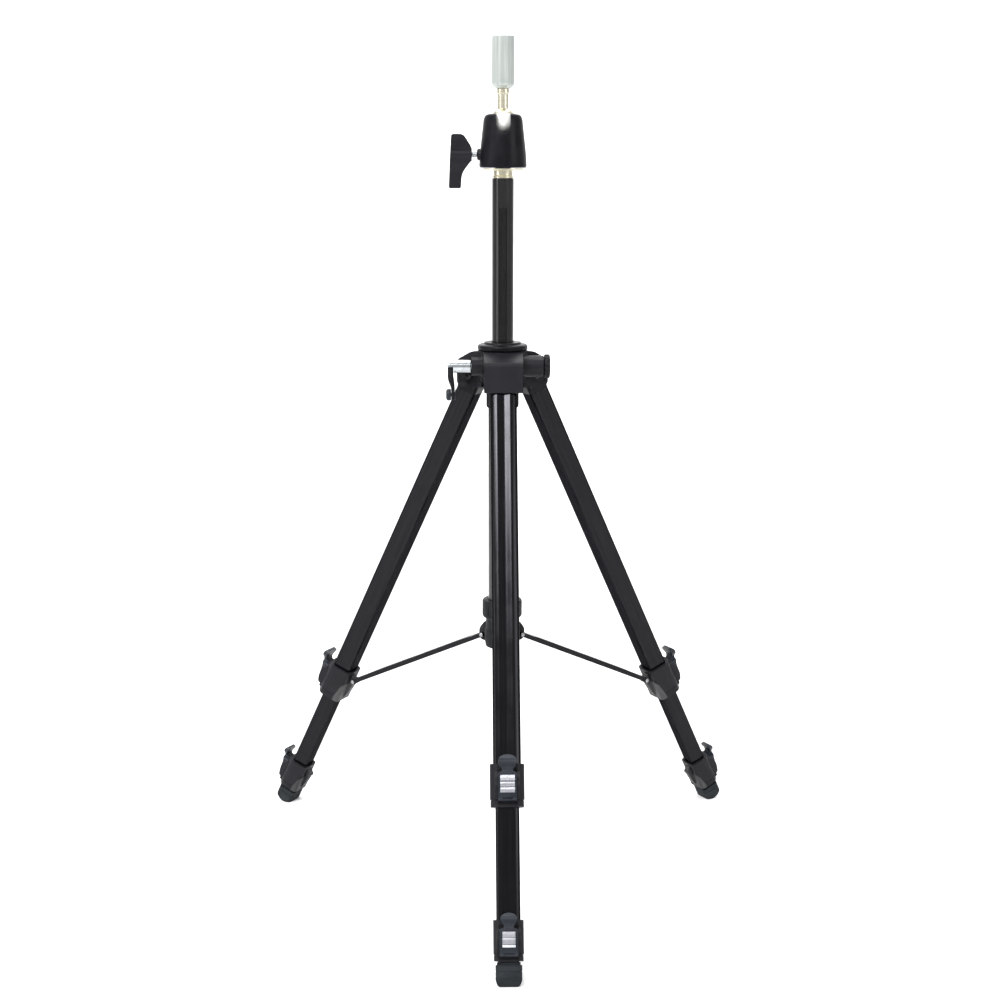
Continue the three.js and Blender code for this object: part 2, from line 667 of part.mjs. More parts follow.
// T-shaped clamp lever on the side screw, the long wing hanging down.
add('clamp_lever', shaped([
  plateY(outline([
    [-51.6, 764, 3], [-39.5, 764, 4], [-31, 751, 4], [-31, 738.5, 4], [-41, 726, 6], [-42, 711, 2],
    [-54.6, 711, 2], [-53, 740, 6],
  ]), 0, 12, 1),
  barX(6.9, -52.4, -31, 0, screwZ, 16),
], [barX(2.6, -45, -30, 0, screwZ)]), blackPlastic);
add('clamp_screw', shaped([
  barX(2.3, -44.5, -8 - GAP, 0, screwZ),
  barX(2.9, -31 + GAP, -26 - GAP, 0, screwZ),
]), chrome);

// ---------------------------------------------------------------- origin

// The origin is the centre of the footprint's box, on the floor.
const footprint = new THREE.Box3().setFromObject(tripod);
tripod.position.y = -(footprint.min.y + footprint.max.y) / 2;

export default tripod;
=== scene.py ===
"""Looks of the light tripod stand with a tilting head peg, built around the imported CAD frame."""

import json
import math

import bmesh
import bpy
from mathutils import Matrix, Vector


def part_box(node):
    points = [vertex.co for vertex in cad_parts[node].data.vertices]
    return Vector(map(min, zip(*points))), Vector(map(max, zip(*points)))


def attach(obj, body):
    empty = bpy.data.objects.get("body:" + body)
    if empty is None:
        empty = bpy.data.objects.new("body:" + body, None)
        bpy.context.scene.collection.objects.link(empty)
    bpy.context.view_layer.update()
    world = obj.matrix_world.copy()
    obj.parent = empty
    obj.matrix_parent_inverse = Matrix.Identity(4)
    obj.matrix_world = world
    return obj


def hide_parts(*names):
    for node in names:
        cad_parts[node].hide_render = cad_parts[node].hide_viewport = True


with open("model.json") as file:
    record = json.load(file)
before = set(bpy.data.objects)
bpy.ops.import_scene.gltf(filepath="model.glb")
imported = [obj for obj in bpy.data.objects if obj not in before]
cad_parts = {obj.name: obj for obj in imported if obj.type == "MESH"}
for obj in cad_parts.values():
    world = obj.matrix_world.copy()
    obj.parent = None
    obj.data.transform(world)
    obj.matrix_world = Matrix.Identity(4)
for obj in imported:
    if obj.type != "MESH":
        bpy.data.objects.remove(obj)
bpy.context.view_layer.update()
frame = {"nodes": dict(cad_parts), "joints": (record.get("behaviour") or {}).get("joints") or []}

MM = 0.001
SIDES = {"front": -90, "right": 30, "left": 150}

# ------------------------------------------------------------------ frames
# Shapes are drawn in millimetres in a local frame, and a matrix puts them in the row frame.

joints = {j["name"]: j for j in frame["joints"]}
column_low, column_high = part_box("column_tube")
axis_y = (column_low.y + column_high.y) / 2
CENTRE = Matrix.Translation((0, axis_y, 0)) @ Matrix.Scale(MM, 4)

LEG_ANGLE = 26.5


def turn(degrees, axis):
    return Matrix.Rotation(math.radians(degrees), 4, axis)


# In a leg's frame the hinge is the origin, +X points out of the outer face and the leg runs down -Z.
def leg_frame(side):
    hinge = Matrix.Translation(joints[f"{side}_leg_fold"]["pos_m"])
    return hinge @ Matrix.Scale(MM, 4) @ turn(SIDES[side], "Z") @ turn(-LEG_ANGLE, "Y")


# In a brace's frame the slider pivot is the origin and the strap runs along +X.
BRACE_LUG = (393.5, -18.5)
SLIDER_PIVOT_R = 22


def brace_line(side):
    pivot = Vector(joints[f"{side}_brace_swing"]["pos_m"])
    lug = leg_frame(side) @ Vector((BRACE_LUG[1], 0, -BRACE_LUG[0]))
    reach = lug - pivot
    return pivot, reach


def brace_frame(side):
    pivot, reach = brace_line(side)
    slope = math.degrees(math.atan2(-reach.z, math.hypot(reach.x, reach.y)))
    return Matrix.Translation(pivot) @ Matrix.Scale(MM, 4) @ turn(SIDES[side], "Z") @ turn(slope, "Y")


# ------------------------------------------------------------------ mesh helpers

FILLET_STEPS = 4


def curved(before, corner, after, steps):
    """The points that stand for one corner (x, y, radius) between its two neighbours."""
    middle = Vector(corner[:2])
    back = Vector(before[:2]) - middle
    on = Vector(after[:2]) - middle
    reach = min(corner[2], 0.45 * back.length, 0.45 * on.length)
    if reach <= 0:
        return [middle]
    start = middle + back.normalized() * reach
    end = middle + on.normalized() * reach
    ratios = [k / steps for k in range(steps + 1)]
    return [start * (1 - t) ** 2 + middle * 2 * t * (1 - t) + end * t**2 for t in ratios]


def rounded(corners, steps=5):
    """Closed outline from corners (x, y, radius), each turned into a short curve."""
    points = []
    for i, corner in enumerate(corners):
        points += curved(corners[i - 1], corner, corners[(i + 1) % len(corners)], steps)
    return points


def filleted(profile):
    """Open turning profile from (radius, height, fillet) corners. Its two ends stay sharp."""
    points = [Vector(profile[0][:2])]
    for before, corner, after in zip(profile, profile[1:], profile[2:]):
        points += curved(before, corner, after, FILLET_STEPS)
    points.append(Vector(profile[-1][:2]))
    return points


def as_mesh(bm, name="shape"):
    bmesh.ops.recalc_face_normals(bm, faces=bm.faces)
    mesh = bpy.data.meshes.new(name)
    bm.to_mesh(mesh)
    bm.free()
    return mesh


def prism(outline, low, high):
    """Solid between two heights over an outline of X and Y points."""
    bm = bmesh.new()
    bottom = [bm.verts.new((p[0], p[1], low)) for p in outline]
    top = [bm.verts.new((p[0], p[1], high)) for p in outline]
    bm.faces.new(bottom)
    bm.faces.new(top)
    for i in range(len(outline)):
        bm.faces.new((bottom[i - 1], bottom[i], top[i], top[i - 1]))
    return as_mesh(bm)


def lathe(profile, steps=64):
    """Solid turned about Z. The profile starts and ends on the axis, or closes on itself."""
    bm = bmesh.new()
    rings = []
    for r, z in profile:
        if r < 1e-6:
            rings.append([bm.verts.new((0, 0, z))] * steps)
            continue
        angles = (2 * math.pi * k / steps for k in range(steps))
        rings.append([bm.verts.new((r * math.cos(a), r * math.sin(a), z)) for a in angles])
    on_axis = profile[0][0] < 1e-6
    pairs = list(zip(rings, rings[1:]))
    if not on_axis:
        pairs.append((rings[-1], rings[0]))
    for lower, upper in pairs:
        for k in range(steps):
            corners = [lower[k - 1], lower[k], upper[k], upper[k - 1]]
            unique = list(dict.fromkeys(corners))
            if len(unique) > 2:
                bm.faces.new(unique)
    return as_mesh(bm)


def moved(mesh, matrix):
    result = mesh.copy()
    result.transform(matrix)
    return result


def along_x(mesh):
    """A shape drawn on X and Y and raised along Z, laid so that it lies on Y and Z and runs along X."""
    return moved(mesh, Matrix(((0, 0, 1, 0), (1, 0, 0, 0), (0, 1, 0, 0), (0, 0, 0, 1))))


def along_y(mesh):
    """A shape drawn on X and Y and raised along Z, stood up on X and Z so that it runs along Y."""
    return moved(mesh, turn(90, "X"))


def plate_y(corners, width, middle=0):
    """Outline of X and Z corners with a width along Y."""
    mesh = along_y(prism(rounded(corners), -width / 2, width / 2))
    return moved(mesh, Matrix.Translation((0, middle, 0)))


def plate_x(corners, low, high):
    """Outline of Y and Z corners between two values of X."""
    return along_x(prism(rounded(corners), low, high))


def rod(radius, low, high, steps=32):
    return lathe([(0, low), (radius, low), (radius, high), (0, high)], steps)


def rod_x(radius, low, high, y=0, z=0, steps=32):
    return moved(along_x(rod(radius, low, high, steps)), Matrix.Translation((0, y, z)))


def rod_y(radius, low, high, x=0, z=0, steps=32):
    return moved(along_y(rod(radius, -high, -low, steps)), Matrix.Translation((x, 0, z)))


def block(x0, x1, y0, y1, z0, z1):
    return prism([(x0, y0), (x1, y0), (x1, y1), (x0, y1)], z0, z1)


def solid(joins, cuts=(), keep=(), bevel=0.4, segments=2, angle=32):
    """Joins, trims and cuts meshes, then rounds the sharp edges that remain."""
    scene = bpy.context.scene
    temporary = []

    def holder(mesh):
        obj = bpy.data.objects.new("temporary", mesh)
        scene.collection.objects.link(obj)
        temporary.append(obj)
        return obj

    base = holder(joins[0].copy())
    steps = [(mesh, "UNION") for mesh in joins[1:]]
    steps += [(mesh, "INTERSECT") for mesh in keep]
    steps += [(mesh, "DIFFERENCE") for mesh in cuts]
    for mesh, operation in steps:
        modifier = base.modifiers.new(operation, "BOOLEAN")
        modifier.operation = operation
        modifier.solver = "MANIFOLD"
        modifier.object = holder(mesh)
    if bevel:
        edge = base.modifiers.new("edge", "BEVEL")
        edge.width = bevel
        edge.segments = segments
        edge.limit_method = "ANGLE"
        edge.angle_limit = math.radians(angle)
    depsgraph = bpy.context.evaluated_depsgraph_get()
    result = bpy.data.meshes.new_from_object(base.evaluated_get(depsgraph))
    for obj in temporary:
        bpy.data.objects.remove(obj)
    result.materials.clear()
    return result


SHARP_ANGLE = 42


def show(name, mesh, matrix, material, body, nodes=()):
    """Puts a mesh in the row frame as a piece that rides on a body and stands for CAD nodes."""
    placed = mesh.copy()
    placed.transform(matrix)
    placed.materials.append(material)
    placed.shade_smooth()
    placed.set_sharp_from_angle(angle=math.radians(SHARP_ANGLE))
    obj = bpy.data.objects.new(name, placed)
    bpy.context.scene.collection.objects.link(obj)
    weighted = obj.modifiers.new("normals", "WEIGHTED_NORMAL")
    weighted.keep_sharp = True
    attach(obj, body)
    if nodes:
        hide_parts(*nodes)
    return obj


# ------------------------------------------------------------------ materials


def surface(name, colour, roughness, metallic=0.0, gloss=0.5):
    material = bpy.data.materials.new(name)
    material.use_nodes = True
    shader = material.node_tree.nodes["Principled BSDF"]
    shader.inputs["Base Color"].default_value = (*colour, 1)
    shader.inputs["Roughness"].default_value = roughness
    shader.inputs["Metallic"].default_value = metallic
    shader.inputs["Specular IOR Level"].default_value = gloss
    return material, material.node_tree, shader


def noise(tree, scale, detail=3.0, stretch=(1, 1, 1), coordinate="Object"):
    where = tree.nodes.new("ShaderNodeTexCoord")
    mapping = tree.nodes.new("ShaderNodeMapping")
    mapping.inputs["Scale"].default_value = stretch
    texture = tree.nodes.new("ShaderNodeTexNoise")
    texture.inputs["Scale"].default_value = scale
    texture.inputs["Detail"].default_value = detail
    tree.links.new(where.outputs[coordinate], mapping.inputs["Vector"])
    tree.links.new(mapping.outputs["Vector"], texture.inputs["Vector"])
    return texture.outputs["Fac"]


def spread(tree, value, low, high):
    """Maps the middle of a noise onto the range low to high."""
    remap = tree.nodes.new("ShaderNodeMapRange")
    remap.inputs["From Min"].default_value = 0.3
    remap.inputs["From Max"].default_value = 0.7
    remap.inputs["To Min"].default_value = low
    remap.inputs["To Max"].default_value = high
    tree.links.new(value, remap.inputs["Value"])
    return remap.outputs["Result"]


def tint(tree, value, dark, light):
    ramp = tree.nodes.new("ShaderNodeValToRGB")
    ramp.color_ramp.elements[0].position = 0.35
    ramp.color_ramp.elements[0].color = (*dark, 1)
    ramp.color_ramp.elements[1].position = 0.68
    ramp.color_ramp.elements[1].color = (*light, 1)
    tree.links.new(value, ramp.inputs["Fac"])
    return ramp.outputs["Color"]


WORN_AMOUNT = 0.5


def worn(tree, colour, edge_colour):
    """Lightens convex edges, where handling polishes them."""
    geometry = tree.nodes.new("ShaderNodeNewGeometry")
    ramp = tree.nodes.new("ShaderNodeValToRGB")
    ramp.color_ramp.elements[0].position = 0.52
    ramp.color_ramp.elements[0].color = (0, 0, 0, 1)
    ramp.color_ramp.elements[1].position = 0.62
    ramp.color_ramp.elements[1].color = (WORN_AMOUNT, WORN_AMOUNT, WORN_AMOUNT, 1)
    mix = tree.nodes.new("ShaderNodeMix")
    mix.data_type = "RGBA"
    tree.links.new(geometry.outputs["Pointiness"], ramp.inputs["Fac"])
    tree.links.new(ramp.outputs["Color"], mix.inputs["Factor"])
    tree.links.new(colour, mix.inputs["A"])
    mix.inputs["B"].default_value = (*edge_colour, 1)
    return mix.outputs["Result"]


def bump(tree, shader, value, strength, distance):
    node = tree.nodes.new("ShaderNodeBump")
    node.inputs["Strength"].default_value = strength
    node.inputs["Distance"].default_value = distance
    tree.links.new(value, node.inputs["Height"])
    tree.links.new(node.outputs["Normal"], shader.inputs["Normal"])


def moulded(name, dark, light, edge, rough, grain=0.25, gloss=0.09):
    """Moulded plastic or rubber: a spark-eroded grain, faint handling marks and polished edges."""
    material, tree, shader = surface(name, dark, sum(rough) / 2, gloss=gloss)
    marks = noise(tree, 60, 4)
    tree.links.new(worn(tree, tint(tree, marks, dark, light), edge), shader.inputs["Base Color"])
    tree.links.new(spread(tree, marks, *rough), shader.inputs["Roughness"])
    bump(tree, shader, noise(tree, 1800, 2), grain, 0.00012)
    return material


def drawn(name, dark, light, rough, metallic, stretch, lines=0.12, coordinate="Object", gloss=0.5,
          glancing=1.0):
    """Drawn or extruded metal with fine lines along its length."""
    material, tree, shader = surface(name, dark, sum(rough) / 2, metallic, gloss=gloss)
    shader.inputs["Specular Tint"].default_value = (glancing, glancing, glancing, 1)
    streaks = noise(tree, 1.0, 4, stretch, coordinate)
    tree.links.new(tint(tree, streaks, dark, light), shader.inputs["Base Color"])
    tree.links.new(spread(tree, noise(tree, 45, 3), *rough), shader.inputs["Roughness"])
    bump(tree, shader, streaks, lines, 0.00008)
    return material


black_plastic = moulded(
    "black_plastic", (0.003, 0.003, 0.004), (0.006, 0.006, 0.008), (0.018, 0.018, 0.021), (0.28, 0.42))
soft_plastic = moulded(
    "grey_black_plastic", (0.006, 0.0065, 0.008), (0.012, 0.013, 0.015), (0.03, 0.03, 0.03), (0.42, 0.6), 0.4)
# Black plastic painted a lighter grey for the collar lugs: the paler colour is painted light, standing for
# the light a downward-facing lug catches.
lug_plastic_painted_light = moulded(
    "lug_plastic_painted_light", (0.02, 0.021, 0.022), (0.036, 0.037, 0.038), (0.07, 0.07, 0.07), (0.45, 0.6), 0.4, 0.15)
lever_plastic = moulded(
    "lever_plastic", (0.007, 0.009, 0.013), (0.014, 0.0175, 0.024), (0.03, 0.034, 0.042), (0.3, 0.42),
    0.12, 0.2)
foot_rubber = moulded(
    "foot_rubber", (0.009, 0.011, 0.013), (0.018, 0.021, 0.024), (0.038, 0.042, 0.044), (0.6, 0.8), 0.7)
tube_black = drawn(
    "anodised_black", (0.012, 0.012, 0.0135), (0.021, 0.021, 0.023), (0.16, 0.25), 1.0, (2.2, 0.012, 1),
    coordinate="UV", glancing=0.45)
guide_black = drawn(
    "anodised_guide", (0.05, 0.05, 0.05), (0.09, 0.09, 0.088), (0.26, 0.36), 0.8, (900, 900, 14))
column_black = drawn(
    "gloss_black", (0.006, 0.006, 0.006), (0.01, 0.01, 0.01), (0.14, 0.22), 0.0, (900, 900, 10),
    gloss=0.3)
bright_chrome = drawn(
    "chrome", (0.36, 0.39, 0.41), (0.47, 0.49, 0.51), (0.14, 0.22), 1.0, (300, 300, 300), 0.02)
dark_steel = drawn(
    "blackened_steel", (0.02, 0.02, 0.022), (0.04, 0.04, 0.042), (0.3, 0.45), 1.0, (400, 400, 400), 0.06,
    glancing=0.3)
rivet_steel = drawn(
    "plated_steel", (0.22, 0.23, 0.24), (0.36, 0.37, 0.38), (0.25, 0.4), 1.0, (400, 400, 400), 0.06)
plate_metal = drawn(
    "plate_metal", (0.34, 0.35, 0.38), (0.46, 0.47, 0.5), (0.24, 0.36), 0.85, (900, 900, 60), 0.08)
peg_metal = drawn(
    "satin_peg", (0.34, 0.37, 0.355), (0.46, 0.49, 0.47), (0.36, 0.48), 0.6, (500, 500, 18), 0.1)
neck_metal = drawn(
    "champagne", (0.5, 0.47, 0.36), (0.66, 0.63, 0.5), (0.26, 0.34), 1.0, (60, 60, 900), 0.02)
# Satin metal ball whose near-white, mostly non-metallic colour is partly its own light tone and partly a
# painted reflection of the bright surroundings.
ball_metal_painted_reflection = drawn(
    "satin_ball_painted_reflection", (0.8, 0.8, 0.78), (0.9, 0.9, 0.88), (0.24, 0.34), 0.2, (400, 400, 400), 0.02)

# ------------------------------------------------------------------ leg pieces, in a leg's frame

UPPER = (27.0, 19.0, 22.0)
MIDDLE = (23.0, 16.0, 18.4)
LOWER = (19.6, 13.4, 15.2)
WALL = 1.2


def tube_outline(section, grow=0.0):
    """Section of a leg tube: a fluted outer face, slanting sides and a narrower inner face."""
    outer, inner, depth = section
    k = outer / UPPER[0]
    flute = [(6.3, 0), (4.6, -0.28), (2.6, -0.8), (0.9, -1.15)]
    rail = depth / 2 + grow
    half = outer / 2 + grow
    back = inner / 2 + grow
    corners = [
        (rail - 0.25 * k, 8 * k, 1.2 * k), (rail - 1.2 * k, half - 2.6 * k, 2.4 * k),
        (rail - 3.4 * k, half, 2.4 * k), (-depth / 2 - grow + 1.4 * k, back + 0.5 * k, 1.2 * k),
        (-depth / 2 - grow, back - 2 * k, 1.6 * k),
    ]
    right = [(rail + sink * k, y * k, 0) for y, sink in reversed(flute)] + corners
    left = [(x, -y, r) for x, y, r in reversed(right)]
    return rounded(right + left, 4)


def plain_outline(section, grow=0.0):
    """Section of a collar or a boot round a leg tube."""
    outer, inner, depth = section
    out = depth / 2 + grow
    back = -depth / 2 - grow
    wide = outer / 2 + grow
    narrow = inner / 2 + grow
    half = [
        (out, 0, 0), (out, wide - 4.4, 1.5), (out - 2.6, wide, 2.2),
        (back + 1.5, narrow + 0.6, 1.5), (back, narrow - 2, 1.5),
    ]
    mirrored = [(x, -y, r) for x, y, r in reversed(half[1:])]
    return rounded(half + mirrored)


def leg_tube(section, start, end):
    """Hollow tube with a lengthwise UV, so that the drawing lines follow it."""
    outside = tube_outline(section)
    shrink = [1 - WALL / (section[2] / 2), 1 - WALL / (section[0] / 2)]
    inside = [Vector((p.x * shrink[0], p.y * shrink[1])) for p in outside]
    edge = 0.35
    rings = [
        (inside, -start), (outside, -start), (outside, -start - edge),
        (outside, -end + edge), (outside, -end), (inside, -end),
    ]
    bm = bmesh.new()
    uv = bm.loops.layers.uv.new("along")
    loops = [[bm.verts.new((p.x, p.y, z)) for p in outline] for outline, z in rings]
    count = len(outside)
    around = [0.0]
    for i in range(count):
        around.append(around[-1] + (outside[(i + 1) % count] - outside[i]).length)
    for r in range(len(loops)):
        upper, lower = loops[r], loops[(r + 1) % len(loops)]
        z_upper, z_lower = rings[r][1], rings[(r + 1) % len(rings)][1]
        for i in range(count):
            j = (i + 1) % count
            face = bm.faces.new((upper[i], upper[j], lower[j], lower[i]))
            here, there = around[i], around[i + 1]
            wraps = ((here, z_upper), (there, z_upper), (there, z_lower), (here, z_lower))
            for loop, place in zip(face.loops, wraps):
                loop[uv].uv = place
    return as_mesh(bm)


# A lock's bands are those of its face plate: where each starts and ends along it, and how far it lifts.
LOCK_A = {
    "start": 384.5, "length": 40.0, "section": (33.0, 25.0, 28.4), "tube": UPPER, "inner": MIDDLE,
    "tube_end": 405.0, "bands": [(0.0, 0.34, 1.4), (0.4, 0.66, -0.2), (0.71, 1.0, -0.1)],
}
LOCK_B = {
    "start": 526.0, "length": 36.5, "section": (28.6, 21.6, 24.6), "tube": MIDDLE, "inner": LOWER,
    "tube_end": 545.0, "bands": [(0.0, 0.38, 0.2), (0.4, 0.78, 0.0), (0.83, 1.0, 0.8)],
}
CENTRE_OUT = 0.7


def lever_plan(lock):
    scale = lock["section"][0] / LOCK_A["section"][0]
    face = lock["section"][2] / 2 + CENTRE_OUT
    return {
        "scale": scale,
        "face": face,
        "width": 17.4,
        "pivot_out": face + 2.6 * scale,
        "pivot": lock["start"] + 0.78 * lock["length"],
        "tip": lock["start"] - 8 * scale,
        "plate": lock["start"] + 0.265 * lock["length"],
        "plate_length": 16.5 * scale,
        "plate_width": 13.6 * scale,
    }


def collar_outline(lock, grow=0.0):
    """Section of a lock's collar: a narrow outer face with broad chamfers, and a narrower back."""
    outer, inner, depth = lock["section"]
    k = lever_plan(lock)["scale"]
    out = CENTRE_OUT + depth / 2 + grow
    back = CENTRE_OUT - depth / 2 - grow
    wide = outer / 2 + grow
    narrow = inner / 2 + grow
    half = [
        (out, 0, 0), (out, 10.4 * k, 1.5), (out - 5.2 * k, wide - 0.4, 2.6), (out - 10 * k, wide, 2),
        (back + 1.5, narrow + 0.6, 1.5), (back, narrow - 2, 1.5),
    ]
    mirrored = [(x, -y, r) for x, y, r in reversed(half[1:])]
    return rounded(half + mirrored)


def collar(lock):
    """Moulded clamp collar: bevelled body, a hump of two rails beside the lever and a grooved skirt."""
    plan = lever_plan(lock)
    k = plan["scale"]
    start, end = lock["start"], lock["start"] + lock["length"]
    face = plan["face"]
    body = prism(collar_outline(lock), -end + 6 * k, -start)
    skirt = prism(collar_outline(lock, -0.5 * k), -end, -end + 7 * k)
    rail = [
        (face - 5, -start - 6 * k, 0), (face - 0.6, -start - 7 * k, 1.5),
        (face + 4.8 * k, -start - 14 * k, 3), (face + 6.6 * k, -start - 20 * k, 3),
        (face + 5.8 * k, -start - 27.5 * k, 2.5), (face + 1.4, -start - 32 * k, 1.5),
        (face + 0.6, -end + 4 * k, 1), (face - 5, -end + 3 * k, 0),
    ]
    inner = plan["width"] / 2 + 0.3
    thick = 2.9 * k
    rails = [plate_y(rail, thick, side * (inner + thick / 2)) for side in (-1, 1)]
    bore_top = prism(tube_outline(lock["tube"], 0.06), -lock["tube_end"] - 0.3, -start + 1)
    bore_low = prism(tube_outline(lock["inner"], 0.25), -end - 1, -lock["tube_end"])
    channel = block(face - 1.2, face + 9, -inner, inner, -end - 2, -start - 5 * k)
    well = block(face - 2.2, face + 9, -inner, inner, -plan["pivot"] - 6.5, -plan["pivot"] + 6.5)
    outer = prism(collar_outline(lock, 3), -end + 6 * k, -end + 6.9 * k)
    inside = prism(collar_outline(lock, -0.8), -end, -end + 9 * k)
    groove = solid([outer], [inside], bevel=0)
    return solid([body, skirt, *rails], [bore_top, bore_low, channel, well, groove], bevel=0.55, segments=3)


def collar_lug(lock, pinned):
    """Inner bracket of a collar, made pale by painted light in its material: a thin saddle round its back,
    with a web for the brace's lug.
    """
    k = lever_plan(lock)["scale"]
    start, end = lock["start"], lock["start"] + lock["length"]
    back = CENTRE_OUT - lock["section"][2] / 2
    web = [
        (back + 1, -start - 4 * k, 0), (back - 4.4 * k, -start - 7 * k, 3),
        (back - 5.6 * k, -start - 15 * k, 4), (back - 3.4 * k, -start - 30 * k, 5),
        (back + 1, -end + 1, 0),
    ]
    flap = [
        (back - 2, -start - 12, 0), (back + 2.5, -start - 18, 3), (back + 6, -end + 5, 2),
        (back + 6, -end + 0.6, 0), (back - 2, -end + 0.6, 0),
    ]
    sleeve = prism(collar_outline(lock, 0.55), -end + 0.6, -start - 5)
    inside = prism(collar_outline(lock, -0.3), -end - 5, -start)
    shell = solid([sleeve], [inside], keep=[plate_y(flap, 60)], bevel=0)
    parts = [shell, plate_y(web, 6.2)]
    cuts = []
    if pinned:
        along, out = BRACE_LUG
        parts.append(rod_y(3.6, -3.1, 3.1, out, -along))
        cuts.append(rod_y(1.7, -5, 5, out, -along, 20))
    else:
        parts.append(rod_y(3.2, -3.6, 3.6, back - 2.4, -start - 12 * k))
    return solid(parts, cuts, bevel=0.2, segments=2)


def lever(lock):
    """Flip lever: a spade-shaped finger blade on a narrow neck, over a body that holds the face plate."""
    plan = lever_plan(lock)
    k = plan["scale"]
    face, tip, pivot, out = plan["face"] + 0.3, plan["tip"], plan["pivot"], plan["pivot_out"]
    side = [
        (face + 6.9 * k, -tip, 1), (face + 9.4 * k, -tip, 1), (face + 12.9 * k, -tip - 5 * k, 6),
        (face + 13.2 * k, -tip - 11 * k, 4), (face + 10.6 * k, -tip - 15.5 * k, 4),
        (face + 8.2 * k, -tip - 21 * k, 4), (face + 6.9 * k, -pivot + 2, 6),
        (out + 3 * k, -pivot - 3.6, 3), (out - 2.6 * k, -pivot - 3.6, 2.4), (face, -pivot + 8, 2),
        (face, -tip - 17.4 * k, 1), (face + 4.6 * k, -tip - 16.4 * k, 3),
        (face + 8.8 * k, -tip - 12 * k, 3), (face + 7.4 * k, -tip - 7 * k, 6),
    ]
    half = plan["width"] / 2
    blade = 8.8 * k
    neck = 5.2 * k
    right = [
        (0, -tip, 4), (blade * 0.62, -tip - 1.2 * k, 4), (blade * 0.96, -tip - 4.2 * k, 4),
        (blade, -tip - 7 * k, 4), (blade * 0.84, -tip - 10.8 * k, 4), (neck, -tip - 13.4 * k, 3),
        (neck, -tip - 15.6 * k, 1.5), (half, -tip - 17.2 * k, 1.5), (half, -pivot - 6, 1),
    ]
    front = right + [(-y, z, r) for y, z, r in reversed(right[1:])]
    pocket_half = plan["plate_width"] / 2 + 0.25
    pocket = block(face + 4.7 * k, face + 14, -pocket_half, pocket_half,
                   -plan["plate"] - plan["plate_length"] - 0.25, -plan["plate"] + 0.25)
    slot = block(face + 4.6 * k, face + 12, -half * 0.55, half * 0.55, -pivot - 2.2, -pivot - 0.4)
    return solid([plate_y(side, 2 * blade + 2)], [pocket, slot], keep=[plate_x(front, 0, 60)],
                 bevel=0.55, segments=3)


def lever_plate(lock):
    """Bright face plate, pressed into bands that catch the light differently."""
    plan = lever_plan(lock)
    k = plan["scale"]
    base = plan["face"] + 0.3 + 4.9 * k
    top, length, half = plan["plate"], plan["plate_length"], plan["plate_width"] / 2
    parts = [block(base, base + 1.2 * k, -half, half, -top - length, -top)]
    for low, high, lift in lock["bands"]:
        crown = [
            (base + 0.9, -top - high * length, 0), (base + (2.7 + lift) * k, -top - high * length, 0.5),
            (base + 3.0 * k, -top - (low + high) / 2 * length, 2),
            (base + 2.6 * k, -top - low * length, 0.5), (base + 0.9, -top - low * length, 0),
        ]
        parts.append(plate_y(crown, 2 * half))
    return solid(parts, bevel=0.22, segments=2)


def leg_head():
    """Moulded knuckle with lightening pockets and a skirt that meets the tube."""
    half = 13.2
    skirt_end = 19.0
    joins = [
        rod_y(9, -half, half, steps=48),
        block(-9, 9, -half, half, -11.7, 0),
        prism(plain_outline(UPPER, 0.05), -skirt_end, -8),
    ]
    pocket = [(-5.5, -4, 1.5), (5.5, -4, 1.5), (6.5, -14, 2), (-6.5, -14, 2)]
    cuts = [plate_y(pocket, 6, side * (half + 1.4)) for side in (-1, 1)]
    cuts.append(rod_y(2.7, -20, 20))
    return solid(joins, cuts, bevel=0.6, segments=3)


def rivet(radius, half, head_radius, head_height):
    """Shank with a domed head at each end, along Y."""
    h, r = head_height, head_radius
    profile = filleted([
        (0, -half - h, 0), (r * 0.55, -half - h, 0.6), (r, -half - 0.25 * h, 0.5), (r, -half, 0.1),
        (radius, -half, 0), (radius, half, 0), (r, half, 0.1), (r, half + 0.25 * h, 0.5),
        (r * 0.55, half + h, 0.6), (0, half + h, 0),
    ])
    return solid([along_y(lathe(profile, 40))], bevel=0)


FOOT_TOP = 563.3
SOLE_EDGE = 1.5
BEVEL_START = 575.0


def foot():
    """Rubber boot with a narrow neck, a sole flat on the floor and a long bevel on its outer side."""
    length = 523.3 / math.cos(math.radians(LEG_ANGLE))
    outer, _, depth = section = (25.0, 20.0, 21.4)
    half = outer / 2
    lean = math.tan(math.radians(LEG_ANGLE))
    toe = length + SOLE_EDGE * lean
    side = [
        (depth / 2 + 1, -FOOT_TOP - 2, 0), (depth / 2 + 1, -BEVEL_START, 1.5), (SOLE_EDGE, -toe, 1),
        (-depth / 2 - 1, -length + (depth / 2 + 1) * lean, 0), (-depth / 2 - 1, -FOOT_TOP - 2, 0),
    ]
    front = [
        (-half - 1, -FOOT_TOP - 2, 0), (half + 1, -FOOT_TOP - 2, 0), (half + 1, -BEVEL_START, 3),
        (half - 2.4, -toe, 4.5), (2.4 - half, -toe, 4.5), (-half - 1, -BEVEL_START, 3),
    ]
    neck = prism(plain_outline(section, -1.3), -FOOT_TOP - 5, -FOOT_TOP)
    body = prism(plain_outline(section), -length - 14, -FOOT_TOP - 2.6)
    trims = [plate_y(side, 2 * outer), plate_x(front, -depth, depth)]
    boot = solid([body], [], keep=trims, bevel=1.0, segments=4)
    ring = prism(plain_outline(section, 3), -FOOT_TOP - 8.4, -FOOT_TOP - 7.7)
    core = prism(plain_outline(section, -0.45), -length, -FOOT_TOP)
    groove = solid([ring], [core], bevel=0)
    socket = prism(tube_outline(LOWER, 0.2), -572.2, -FOOT_TOP + 1)
    return solid([boot, neck], [groove, socket], bevel=0)


